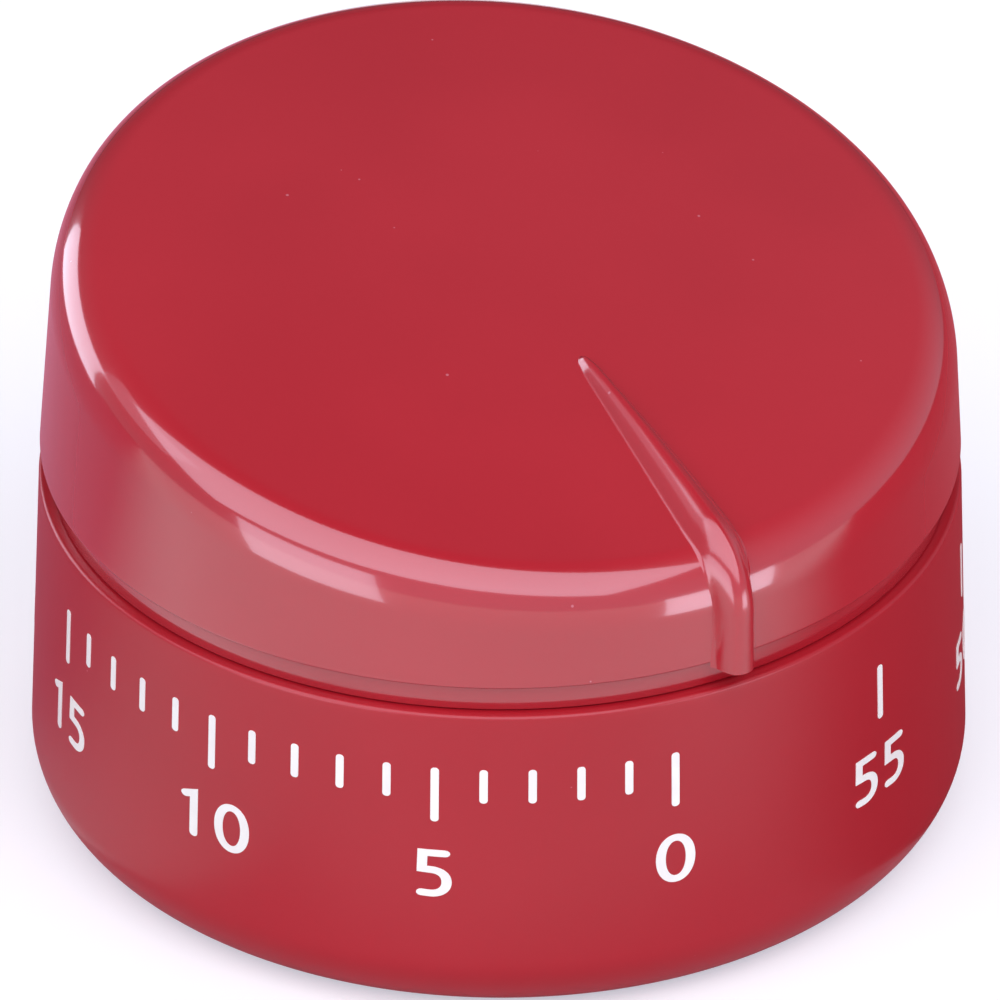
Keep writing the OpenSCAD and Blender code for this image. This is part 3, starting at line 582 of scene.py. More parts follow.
class DustSpecks(Effect):
    """Small pale specks of dust, thinly and unevenly strewn."""

    name = "dust_specks"
    inputs = (PLACE, Port("Scale", value=500.0), Port("Size", value=0.12), Port("Share", value=0.1))
    outputs = (Port("Mask"),)

    @classmethod
    def draw(cls, bench: Bench, given: Any) -> Sequence[Socket]:
        """Keeps a few cells of a point pattern, each with a speck of its own size.

        Args:
            bench: The group's tree.
            given: Inputs of the group by name.

        Returns:
            One socket per output.
        """
        cells = bench.put("ShaderNodeTexVoronoi", {"Vector": given["Vector"], "Scale": given["Scale"]})
        chance = bench.put("ShaderNodeSeparateColor", {0: cells.outputs["Color"]}).outputs
        kept = bench.math("LESS_THAN", chance[0], given["Share"])
        size = bench.math("MULTIPLY", given["Size"], bench.math("ADD", chance[1], 0.35))
        dot = bench.spread(cells.outputs["Distance"], bench.math("MULTIPLY", size, 0.5), size, 1.0, 0.0)
        return [bench.math("MULTIPLY", kept, dot)]


class Hairlines(Effect):
    """Fine short scratches from handling, in two directions."""

    name = "hairlines"
    inputs = (PLACE, Port("Scale", value=60.0), Port("Share", value=0.3))
    outputs = (Port("Mask"),)

    @classmethod
    def draw(cls, bench: Bench, given: Any) -> Sequence[Socket]:
        """Overlays two stretched line patterns and fades them in patches.

        Args:
            bench: The group's tree.
            given: Inputs of the group by name.

        Returns:
            One socket per output.
        """
        marks = []
        for turn in (0.5, -0.9):
            stretched = bench.put("ShaderNodeMapping", {
                "Vector": given["Vector"], "Rotation": (0.4, turn, turn), "Scale": (1.0, 18.0, 1.0)})
            lines = bench.noise(stretched.outputs[0], bench.math("MULTIPLY", given["Scale"], 3.0), 2.0, 0.7)
            marks.append(bench.spread(lines, 0.63, 0.7, 0.0, 1.0))
        patches = bench.spread(bench.noise(given["Vector"], given["Scale"], 2.0), 0.45, 0.7, 0.0, 1.0)
        both = bench.math("MAXIMUM", marks[0], marks[1])
        return [bench.math("MULTIPLY", bench.math("MULTIPLY", both, patches), given["Share"])]


class WorkedLines(Effect):
    """Lines left by turning or brushing a metal, and the stain between them."""

    name = "worked_lines"
    inputs = (PLACE, Port("Turned", value=1.0), Port("Scale", value=3000.0))
    outputs = (Port("Height"), Port("Stain"))

    @classmethod
    def draw(cls, bench: Bench, given: Any) -> Sequence[Socket]:
        """Reads noise along the distance from the axis, or along one side.

        Args:
            bench: The group's tree.
            given: Inputs of the group by name.

        Returns:
            One socket per output.
        """
        x, y, z = bench.put("ShaderNodeSeparateXYZ", {0: given["Vector"]}).outputs
        plane = bench.put("ShaderNodeCombineXYZ", {0: x, 1: y}).outputs[0]
        radius = bench.put("ShaderNodeVectorMath", {0: plane}, operation="LENGTH").outputs["Value"]
        turned = bench.put("ShaderNodeCombineXYZ", {0: radius, 2: z}).outputs[0]
        stretched = bench.math("MULTIPLY", y, 0.03)
        straight = bench.put("ShaderNodeCombineXYZ", {0: x, 1: stretched, 2: z}).outputs[0]
        along = bench.put("ShaderNodeMix", {0: given["Turned"], 4: straight, 5: turned},
                          data_type="VECTOR").outputs[1]
        lines = bench.noise(along, given["Scale"], 3.0, 0.65)
        stain = bench.noise(given["Vector"], bench.math("MULTIPLY", given["Scale"], 0.08), 3.0, 0.6)
        return [lines, bench.spread(stain, 0.35, 0.7, 0.0, 1.0)]


def start_material(name: str) -> tuple[Material, Bench, Node]:
    """Makes a material with a Principled shader.

    Args:
        name: Name of the material.

    Returns:
        The material, its bench and its shader.
    """
    material = bpy.data.materials.new(name)
    material.use_nodes = True
    bench = Bench(material.node_tree)
    shader = bench.put("ShaderNodeBsdfPrincipled")
    bench.put("ShaderNodeOutputMaterial", {"Surface": shader.outputs[0]})
    return material, bench, shader


@dataclass(frozen=True)
class Finish:
    """Common start of every finish: a named material with its tree and Object coordinates."""

    name: str

    def start(self) -> tuple[Material, Bench, Node, Socket]:
        """Makes the material.

        Returns:
            The material, its bench, its Principled shader and the Object coordinates.
        """
        material, bench, shader = start_material(self.name)
        return material, bench, shader, bench.put("ShaderNodeTexCoord").outputs["Object"]

    def material(self) -> Material:
        """Returns the finish as a material, which is made the first time."""
        return bpy.data.materials.get(self.name) or self.draw()

    def draw(self) -> Material:
        """Draws the material's nodes."""
        raise NotImplementedError

    @staticmethod
    def bump(bench: Bench, shader: Node, height: Feed, strength: float, distance: float) -> None:
        """Feeds a height to the shader's normal.

        Args:
            bench: The material's tree.
            shader: Its Principled shader.
            height: Height that varies over the surface.
            strength: Share of the bump that shows.
            distance: Depth of the bump in millimetres.
        """
        node = bench.put("ShaderNodeBump", {
            "Strength": strength, "Distance": distance * MM, "Height": height})
        bench.feed(node.outputs[0], shader.inputs["Normal"])


def rgba(colour: Colour) -> tuple[float, float, float, float]:
    """Adds full cover to a colour."""
    return (*colour, 1.0)


@dataclass(frozen=True)
class MouldedPlastic(Finish):
    """Gloss red plastic straight from the mould, with a little dust and wear."""

    tone: Colour = (0.45, 0.0115, 0.023)
    other_tone: Colour = (0.42, 0.0095, 0.02)
    dust: Colour = (0.55, 0.13, 0.17)
    roughness: float = 0.16
    worn_roughness: float = 0.3
    coat: float = 0.0
    coat_roughness: float = 0.06
    coat_ior: float = 1.55
    ior: float = 1.5
    dust_share: float = 0.05

    def draw(self) -> Material:
        """Draws the drift of colour, the moulded skin, the dust and the hairlines.

        Returns:
            The material.
        """
        material, bench, shader, place = self.start()
        colour = ColourDrift.use(bench, Vector=place, Scale=45.0, Mottle=0.5, Tone=rgba(self.tone),
                                 Other_Tone=rgba(self.other_tone))["Color"]
        specks = DustSpecks.use(bench, Vector=place, Scale=800.0, Size=0.09, Share=self.dust_share)["Mask"]
        wear = Hairlines.use(bench, Vector=place, Scale=55.0, Share=0.5)["Mask"]
        skin = MouldedSkin.use(bench, Vector=place, Wave_Scale=70.0, Grain_Scale=5000.0,
                               Grain_Share=0.02)["Height"]
        rough = bench.spread(wear, 0.0, 1.0, self.roughness, self.worn_roughness)
        bench.feed(bench.mix(specks, colour, rgba(self.dust)), shader.inputs["Base Color"])
        bench.feed(rough, shader.inputs["Roughness"])
        shader.inputs["IOR"].default_value = self.ior
        shader.inputs["Coat Weight"].default_value = self.coat
        shader.inputs["Coat Roughness"].default_value = self.coat_roughness
        shader.inputs["Coat IOR"].default_value = self.coat_ior
        self.bump(bench, shader, skin, 0.25, 0.15)
        return material


@dataclass(frozen=True)
class PrintInk(Finish):
    """White pad-print ink, a little uneven and rubbed."""

    tone: Colour = (0.97, 0.96, 0.95)
    thin_tone: Colour = (0.92, 0.88, 0.88)
    roughness: float = 0.38
    worn_roughness: float = 0.6

    def draw(self) -> Material:
        """Draws the ink's uneven cover and its fine grain.

        Returns:
            The material.
        """
        material, bench, shader, place = self.start()
        colour = ColourDrift.use(bench, Vector=place, Scale=300.0, Mottle=0.8, Tone=rgba(self.tone),
                                 Other_Tone=rgba(self.thin_tone))["Color"]
        wear = Hairlines.use(bench, Vector=place, Scale=90.0, Share=0.4)["Mask"]
        skin = MouldedSkin.use(bench, Vector=place, Wave_Scale=900.0, Grain_Scale=9000.0,
                               Grain_Share=0.4)["Height"]
        rough = bench.spread(wear, 0.0, 1.0, self.roughness, self.worn_roughness)
        bench.feed(colour, shader.inputs["Base Color"])
        bench.feed(rough, shader.inputs["Roughness"])
        self.bump(bench, shader, skin, 0.3, 0.02)
        return material


@dataclass(frozen=True)
class FootRubber(Finish):
    """Matt black rubber with dust in its grain."""

    tone: Colour = (0.016, 0.016, 0.018)
    other_tone: Colour = (0.028, 0.027, 0.027)
    dust: Colour = (0.12, 0.11, 0.10)
    roughness: float = 0.62
    dusty_roughness: float = 0.85

    def draw(self) -> Material:
        """Draws the rubber's grain and dust.

        Returns:
            The material.
        """
        material, bench, shader, place = self.start()
        colour = ColourDrift.use(bench, Vector=place, Scale=120.0, Mottle=0.8, Tone=rgba(self.tone),
                                 Other_Tone=rgba(self.other_tone))["Color"]
        specks = DustSpecks.use(bench, Vector=place, Scale=900.0, Size=0.3, Share=0.2)["Mask"]
        skin = MouldedSkin.use(bench, Vector=place, Wave_Scale=600.0, Grain_Scale=4000.0,
                               Grain_Share=0.9)["Height"]
        rough = bench.spread(specks, 0.0, 1.0, self.roughness, self.dusty_roughness)
        bench.feed(bench.mix(specks, colour, rgba(self.dust)), shader.inputs["Base Color"])
        bench.feed(rough, shader.inputs["Roughness"])
        self.bump(bench, shader, skin, 0.5, 0.05)
        return material


@dataclass(frozen=True)
class WorkedMetal(Finish):
    """Turned or brushed metal with a light stain and handling marks."""

    tone: Colour = (0.56, 0.57, 0.58)
    stain: Colour = (0.44, 0.44, 0.45)
    grain: Grain = Grain.BRUSHED
    roughness: float = 0.28
    smoother: float = 0.06
    rougher: float = 0.08
    mark_roughness: float = 0.15

    def draw(self) -> Material:
        """Draws the lines of the working, the stain and the marks.

        Returns:
            The material.
        """
        material, bench, shader, place = self.start()
        turned = 1.0 if self.grain is Grain.TURNED else 0.0
        worked = WorkedLines.use(bench, Vector=place, Turned=turned, Scale=2600.0)
        wear = Hairlines.use(bench, Vector=place, Scale=160.0, Share=0.6)["Mask"]
        bench.feed(bench.mix(worked["Stain"], rgba(self.tone), rgba(self.stain)), shader.inputs["Base Color"])
        lines = bench.spread(worked["Height"], 0.2, 0.8, self.roughness - self.smoother,
                             self.roughness + self.rougher)
        marks = bench.math("MULTIPLY", wear, self.mark_roughness)
        bench.feed(bench.math("ADD", lines, marks), shader.inputs["Roughness"])
        shader.inputs["Metallic"].default_value = 1.0
        self.bump(bench, shader, worked["Height"], 0.25, 0.02)
        return material


CAP_PLASTIC = MouldedPlastic("cap_red_plastic", coat=1.0)
RIDGE_PLASTIC = MouldedPlastic("ridge_red_plastic", coat=0.8, coat_roughness=0.17)
BASE_PLASTIC = MouldedPlastic("base_red_plastic", (0.42, 0.0108, 0.022), (0.395, 0.009, 0.019), roughness=0.3,
                              worn_roughness=0.36, ior=1.47, dust_share=0.03)
SCALE_INK = PrintInk("scale_white_ink")
RUBBER = FootRubber("foot_black_rubber")
BRUSHED_STEEL = WorkedMetal("brushed_steel")
TURNED_STEEL = WorkedMetal("turned_steel", grain=Grain.TURNED, roughness=0.22)
BLUED_STEEL = WorkedMetal("blued_spring_steel", tone=(0.05, 0.065, 0.13), stain=(0.09, 0.075, 0.10),
                          roughness=0.25)
TURNED_BRASS = WorkedMetal("turned_brass", tone=(0.72, 0.50, 0.19), stain=(0.56, 0.37, 0.14),
                           grain=Grain.TURNED)


# Sub-assemblies


@dataclass
class Base:
    """Round base with its turret, deck, screw bosses and stop post."""

    largest_r: float = 33.0
    round_r: float = 4.7
    lean: float = 1.8
    rim_z: float = 25.0
    rim_round: float = 0.3
    lift: float = 0.4
    open_ease: float = 0.2
    bottom_ease: float = 0.15
    wall: float = 2.2
    open_r: float = 27.9977
    cover_top: float = 2.6
    ledge_under: float = 22.8
    turret_r: float = 28.7444
    turret_in: float = 26.5444
    turret_ease: float = 0.3
    deck_ease: float = 0.4
    deck_top: float = 31.5
    deck_under: float = 29.7
    deck_bore: float = 2.75
    boss_r: float = 2.7
    boss_ring: float = 24.7977
    boss_top: float = 12.0
    boss_bore: float = 1.12
    boss_azimuths: tuple[float, ...] = (20.0, 140.0, 260.0)
    hanger_r: float = 3.0
    hanger_ring: float = 11.0
    hanger_low: float = 28.4
    hanger_bore: float = 1.3
    hanger_azimuths: tuple[float, ...] = (45.0, 165.0, 285.0)
    stop_r: float = 1.25
    stop_ring: float = 21.0
    stop_azimuth: float = 36.8
    stop_top: float = 34.0
    overlap: float = 0.5
    web_overlap: float = 0.4
    web_sink: float = 0.75
    steps: int = 256

    @property
    def foot(self) -> Point:
        """Point where the rounded bottom edge meets the leaning wall.

        Returns:
            Distance from the axis and height.
        """
        lean = math.radians(self.lean)
        return (self.largest_r - self.round_r + self.round_r * math.cos(lean),
                self.round_r + self.round_r * math.sin(lean))

    def wall_r(self, height: float) -> float:
        """Radius of the wall's outside at a height."""
        return self.foot[0] - (height - self.foot[1]) * math.tan(math.radians(self.lean))

    def profile(self) -> Outline:
        """Closed profile of the shell, from the opening's lower edge round the outside and back inside.

        Returns:
            Points as distance from the axis and height.
        """
        lower = math.degrees(math.asin((self.round_r - self.lift) / self.round_r))
        rim_r = self.wall_r(self.rim_z)
        round_at = (self.largest_r - self.round_r, self.round_r)
        bottom = arc(round_at, self.round_r, -lower, self.lean, 22)
        rim = arc((rim_r - self.rim_round, self.rim_z - self.rim_round), self.rim_round, self.lean, 90.0, 6)
        side = between(bottom[-1], rim[0], (0.03, 0.12, 0.3, 0.5, 0.7, 0.88, 0.97))
        inner_foot = (self.foot[0] - self.wall, self.foot[1])
        return [
            (self.open_r, self.lift + self.open_ease), (self.open_r + self.open_ease, self.lift),
            (bottom[0][0] - self.bottom_ease, self.lift), *bottom, *side, *rim,
            (self.turret_r + self.turret_ease, self.rim_z), (self.turret_r, self.rim_z + self.turret_ease),
            (self.turret_r, self.deck_top - self.deck_ease), (self.turret_r - self.deck_ease, self.deck_top),
            (self.deck_bore, self.deck_top), (self.deck_bore, self.deck_under),
            (self.turret_in, self.deck_under), (self.turret_in, self.ledge_under),
            (rim_r - self.wall, self.ledge_under), inner_foot,
            (inner_foot[0] - self.wall / 2, self.cover_top + self.wall / 2), (self.open_r, self.cover_top),
        ]

    def dress(self) -> None:
        """Builds the base and gives it its finish."""
        bm = bmesh.new()
        Lathe.turn(bm, self.profile(), self.steps)
        for azimuth in self.boss_azimuths:
            Lathe.post(bm, (self.boss_ring, azimuth), self.boss_r, self.cover_top, self.boss_top,
                       self.boss_bore)
            self.web(bm, azimuth)
        for azimuth in self.hanger_azimuths:
            Lathe.post(bm, (self.hanger_ring, azimuth), self.hanger_r, self.hanger_low,
                       self.deck_under + self.overlap, self.hanger_bore)
        Lathe.post(bm, (self.stop_ring, self.stop_azimuth), self.stop_r, self.deck_top - self.overlap,
                   self.stop_top)
        Piece("base_moulding", Body.CASE, Slot.RED_PLASTIC, ("base_shell",)).make(bm, BASE_PLASTIC.material())

    def web(self, bm: Shape, azimuth: float) -> None:
        """Ties a screw boss to the wall.

        Args:
            bm: The base's mesh.
            azimuth: Azimuth of the boss.
        """
        low, high = self.cover_top + self.wall, self.boss_top
        inner = self.boss_ring + self.boss_r - self.web_overlap
        outer = self.foot[0] - self.wall * self.web_sink
        block(bm, (self.boss_r, outer - inner, high - low), ((inner + outer) / 2, (low + high) / 2), azimuth)


@dataclass(frozen=True)
class OvalPen:
    """Pen with an oval nib, which draws wider upright strokes than level ones."""

    width: float = 0.71
    height: float = 0.58
    cap_steps: int = 6
    least_mitre: float = 0.4

    def stroke(self, path: Outline) -> Outline:
        """Outline of one stroke with rounded ends.

        Args:
            path: Middle line of the stroke.

        Returns:
            The closed outline.
        """
        points = [Vector((x / self.width, y / self.height)) for x, y in path]
        ways = [(b - a).normalized() for a, b in zip(points, points[1:])]
        left, right = [], []
        for i, point in enumerate(points):
            before, after = ways[max(i - 1, 0)], ways[min(i, len(ways) - 1)]
            side = Vector((-before.y, before.x))
            mitre = (side + Vector((-after.y, after.x))).normalized()
            reach = mitre * (0.5 / max(self.least_mitre, mitre.dot(side)))
            left.append(point + reach)
            right.append(point - reach)
        outline = left + self.cap(points[-1], left[-1]) + right[::-1] + self.cap(points[0], right[0])
        return [(p.x * self.width, p.y * self.height) for p in outline]

    def cap(self, end: Vector, first: Vector) -> list[Vector]:
        """Half round at a stroke's end, from its first side to the other.

        Args:
            end: End of the stroke's middle line.
            first: Point of the first side.

        Returns:
            The points between the two sides.
        """
        arm = first - end
        points = []
        for i in range(1, self.cap_steps):
            turn = -math.pi * i / self.cap_steps
            cos, sin = math.cos(turn), math.sin(turn)
            points.append(end + Vector((arm.x * cos - arm.y * sin, arm.x * sin + arm.y * cos)))
        return points


@dataclass
class Numerals:
    """Digits of the scale, each drawn as flat outlines on a baseline."""

    pen: OvalPen = OvalPen()
    tall: float = 4.15
    height_share: float = 0.915
    gap: float = 0.87
    one_cell: float = 2.78
    nought_outside: Point = (1.47, 2.11)
    nought_counter: Point = (0.75, 1.53)
    nought_handle: float = 0.585
    nought_steps: int = 12

    def outlines(self, digit: str) -> list[Outline]:
        """Outlines of one digit.

        Args:
            digit: One of 0 to 5.

        Returns:
            Closed outlines, with counters among them.
        """
        return (self.nought, self.one, self.two, self.three, self.four, self.five)[int(digit)]()

    def nought(self) -> list[Outline]:
        """Tall oval ring."""
        return [self.oval(*half) for half in (self.nought_outside, self.nought_counter)]

    def oval(self, half_w: float, half_h: float) -> Outline:
        """Oval on the middle of the nought, drawn as four curves.

        Args:
            half_w: Half of its width.
            half_h: Half of its height.

        Returns:
            The closed outline.
        """
        ends = [(half_w, 0.0), (0.0, half_h), (-half_w, 0.0), (0.0, -half_h)]
        ring, handle = [], self.nought_handle
        for start, end in zip(ends, ends[1:] + ends[:1]):
            first = (start[0] + end[0] * handle, start[1] + end[1] * handle)
            second = (end[0] + start[0] * handle, end[1] + start[1] * handle)
            ring += bezier(start, first, second, end, self.nought_steps)
        return [(x + self.nought_outside[0], y + self.tall / 2) for x, y in ring]

    def one(self) -> list[Outline]:
        """Stem with a short flag."""
        return [self.pen.stroke([(0.5, 3.5), (1.32, 3.84), (1.32, 0.29)])]

    def two(self) -> list[Outline]:
        """Bowl, slant and foot.

        Returns:
            The closed outline.
        """
        return [self.pen.stroke(trace(
            (0.36, 3.5), ((0.62, 3.76), (0.92, 3.87), (1.2, 3.87), 8),
            ((1.75, 3.87), (2.08, 3.55), (2.08, 3.08), 8), ((2.08, 2.3), (1.3, 1.55), (0.95, 1.1), 8),
            (0.38, 0.3), (2.3, 0.3)))]

    def three(self) -> list[Outline]:
        """Two bowls that meet in the middle, as one outline.

        Returns:
            The closed outline.
        """
        return [trace(
            (0.3, 3.93), ((0.62, 4.08), (0.88, 4.155), (1.15, 4.155), 6),
            ((1.92, 4.155), (2.35, 3.75), (2.35, 3.12), 8), ((2.35, 2.66), (2.1, 2.35), (1.72, 2.2), 8),
            ((2.22, 2.08), (2.49, 1.74), (2.49, 1.28), 8), ((2.49, 0.45), (1.8, 0.005), (1.0, 0.005), 10),
            ((0.7, 0.005), (0.45, 0.05), (0.28, 0.13), 4), (0.38, 0.7),
            ((0.55, 0.62), (0.75, 0.575), (1.0, 0.575), 4), ((1.45, 0.575), (1.75, 0.85), (1.75, 1.28), 8),
            ((1.75, 1.7), (1.4, 1.93), (0.85, 1.93), 8), (0.72, 1.93), (0.72, 2.5), (0.85, 2.5),
            ((1.3, 2.5), (1.61, 2.7), (1.61, 3.12), 8), ((1.61, 3.4), (1.45, 3.585), (1.15, 3.585), 6),
            ((0.92, 3.585), (0.7, 3.52), (0.48, 3.42), 4))]

    def four(self) -> list[Outline]:
        """Stem, slant and crossbar round a three-cornered counter.

        Returns:
            The outside and the counter.
        """
        outer = [(1.56, self.tall), (2.38, self.tall), (2.38, 1.5), (2.86, 1.5), (2.86, 0.94), (2.38, 0.94),
                 (2.38, 0.0), (1.64, 0.0), (1.64, 0.94), (0.04, 0.94), (0.04, 1.46)]
        return [outer, [(1.64, 3.16), (0.78, 1.5), (1.64, 1.5)]]

    def five(self) -> list[Outline]:
        """Bar, stem and bowl in one stroke.

        Returns:
            The closed outline.
        """
        return [self.pen.stroke(trace(
            (1.98, 3.86), (0.4, 3.86), (0.36, 2.42), (0.98, 2.38),
            ((1.68, 2.36), (2.1, 1.96), (2.1, 1.34), 10), ((2.1, 0.64), (1.58, 0.29), (1.0, 0.29), 10),
            (0.32, 0.33)))]

    def number(self, text: str) -> list[list[Outline]]:
        """Outlines of a whole number, centred on its middle.

        Args:
            text: Digits from left to right.

        Returns:
            The outlines of each digit, in place.
        """
        digits, reach = [], 0.0
        for digit in text:
            shapes = self.outlines(digit)
            left = min(x for shape in shapes for x, _ in shape)
            right = max(x for shape in shapes for x, _ in shape)
            spare = self.one_cell - (right - left) if digit == "1" else 0.0
            digits.append([[(x - left + reach + spare / 2, y * self.height_share) for x, y in shape]
                           for shape in shapes])
            reach += right - left + spare + self.gap
        middle = (reach - self.gap) / 2
        return [[[(x - middle, y) for x, y in shape] for shape in shapes] for shapes in digits]


@dataclass
class MinuteScale:
    """White scale printed round the base: strokes and numbers as a thin film of ink."""

    base: Base
    numerals: Numerals = field(default_factory=Numerals)
    zero_azimuth: float = 22.05
    minute_turn: float = -5.957
    last_minute: int = 55
    fine_minutes: int = 15
    numbered_step: int = 5
    top_z: float = 20.74
    long_stroke: float = 4.32
    short_stroke: float = 2.68
    stroke_w: float = 0.58
    stroke_ease: float = 0.42
    number_z: float = 10.3
    film: float = 0.03
    cut_step: float = 0.45

    def azimuth(self, minute: int) -> float:
        """Azimuth of a minute's stroke and number."""
        return self.zero_azimuth + self.minute_turn * minute

    def wrap(self, verts: Iterable[Vert], azimuth: float, height: float) -> None:
        """Lays flat shapes round the leaning wall.

        Args:
            verts: Vertices with x along the wall, y up it and z out of it.
            azimuth: Azimuth of x = 0.
            height: Height of y = 0.
        """
        lean = math.radians(self.base.lean)
        for v in verts:
            z = height + v.co.y
            r = self.base.wall_r(z)
            turn = azimuth + math.degrees(v.co.x / r)
            v.co = on_ring(r + v.co.z * math.cos(lean), turn, z + v.co.z * math.sin(lean))

    def thicken(self, bm: Shape, faces: list[Face]) -> list[Vert]:
        """Raises flat faces into a film of ink.

        Args:
            bm: Mesh that holds the faces.
            faces: Flat faces at z = 0.

        Returns:
            All vertices of the film.
        """
        low = corners_of(faces)
        made = bmesh.ops.extrude_face_region(bm, geom=faces, use_keep_orig=True)["geom"]
        high = only(Vert, made)
        bmesh.ops.translate(bm, verts=high, vec=(0, 0, self.film))
        bmesh.ops.translate(bm, verts=list(low), vec=(0, 0, -self.film))
        return [*low, *high]

    def stroke(self, bm: Shape, minute: int) -> None:
        """Adds the stroke of one minute.

        Args:
            bm: Mesh of all strokes.
            minute: Minute that the stroke marks.
        """
        long = self.short_stroke if minute % self.numbered_step else self.long_stroke
        old = set(bm.verts)
        verts = bmesh.ops.create_grid(bm, x_segments=1, y_segments=4, size=0.5)["verts"]
        bmesh.ops.scale(bm, verts=verts, vec=(self.stroke_w, long, 1.0))
        corners = [v for v in verts if len(v.link_edges) == 2]
        bmesh.ops.bevel(bm, geom=corners, offset=self.stroke_w * self.stroke_ease, segments=5, profile=0.5,
                        affect="VERTICES", material=-1)
        faces = list({f for v in bm.verts if v not in old for f in v.link_faces})
        self.wrap(self.thicken(bm, faces), self.azimuth(minute), self.top_z - long / 2)

    def number(self, bm: Shape, minute: int) -> None:
        """Adds the number under one stroke.

        Args:
            bm: Mesh of all numbers.
            minute: Minute that the number names.
        """
        for shapes in self.numerals.number(str(minute)):
            flat = self.fill(shapes)
            old = set(bm.faces)
            bm.from_mesh(flat)
            bpy.data.meshes.remove(flat)
            faces = [f for f in bm.faces if f not in old]
            verts = self.thicken(bm, self.slice(bm, faces))
            self.wrap(verts, self.azimuth(minute), self.number_z)

    @staticmethod
    def fill(shapes: list[Outline]) -> bpy.types.Mesh:
        """Fills the outlines of a digit as a flat curve made a mesh.

        Args:
            shapes: Closed outlines, with counters among them.

        Returns:
            Flat mesh of the digit.
        """
        curve = bpy.data.curves.new("digit", "CURVE")
        curve.dimensions = "2D"
        curve.fill_mode = "BOTH"
        for shape in shapes:
            spline = curve.splines.new("POLY")
            spline.points.add(len(shape) - 1)
            for point, (x, y) in zip(spline.points, shape):
                point.co = (x, y, 0.0, 1.0)
            spline.use_cyclic_u = True
        holder = add_object("digit", curve)
        mesh = bpy.data.meshes.new_from_object(holder)
        bpy.data.objects.remove(holder)
        bpy.data.curves.remove(curve)
        return mesh

    def slice(self, bm: Shape, faces: list[Face]) -> list[Face]:
        """Cuts flat faces into upright strips, so that they can bend round the wall.

        Args:
            bm: Mesh that holds the faces.
            faces: Flat faces of one digit.

        Returns:
            The faces after the cuts.
        """
        bmesh.ops.remove_doubles(bm, verts=list(corners_of(faces)), dist=MERGE)
        faces = [f for f in faces if f.is_valid]
        xs = [v.co.x for f in faces for v in f.verts]
        cut = min(xs) + self.cut_step
        while cut < max(xs):
            geom = [*faces, *{e for f in faces for e in f.edges}, *corners_of(faces)]
            made = bmesh.ops.bisect_plane(bm, geom=geom, dist=TINY, plane_co=(cut, 0, 0), plane_no=(1, 0, 0))
            faces = only(Face, made["geom"])
            cut += self.cut_step
        return faces

    def dress(self) -> None:
        """Builds the strokes and the numbers, and gives them their ink."""
        strokes, numbers = bmesh.new(), bmesh.new()
        for minute in range(self.last_minute + 1):
            numbered = minute % self.numbered_step == 0
            if numbered or minute < self.fine_minutes:
                self.stroke(strokes, minute)
            if numbered:
                self.number(numbers, minute)
        Piece("minute_strokes", Body.CASE, Slot.SCALE_PRINT).make(strokes, SCALE_INK.material())
        Piece("minute_numbers", Body.CASE, Slot.SCALE_PRINT).make(numbers, SCALE_INK.material())


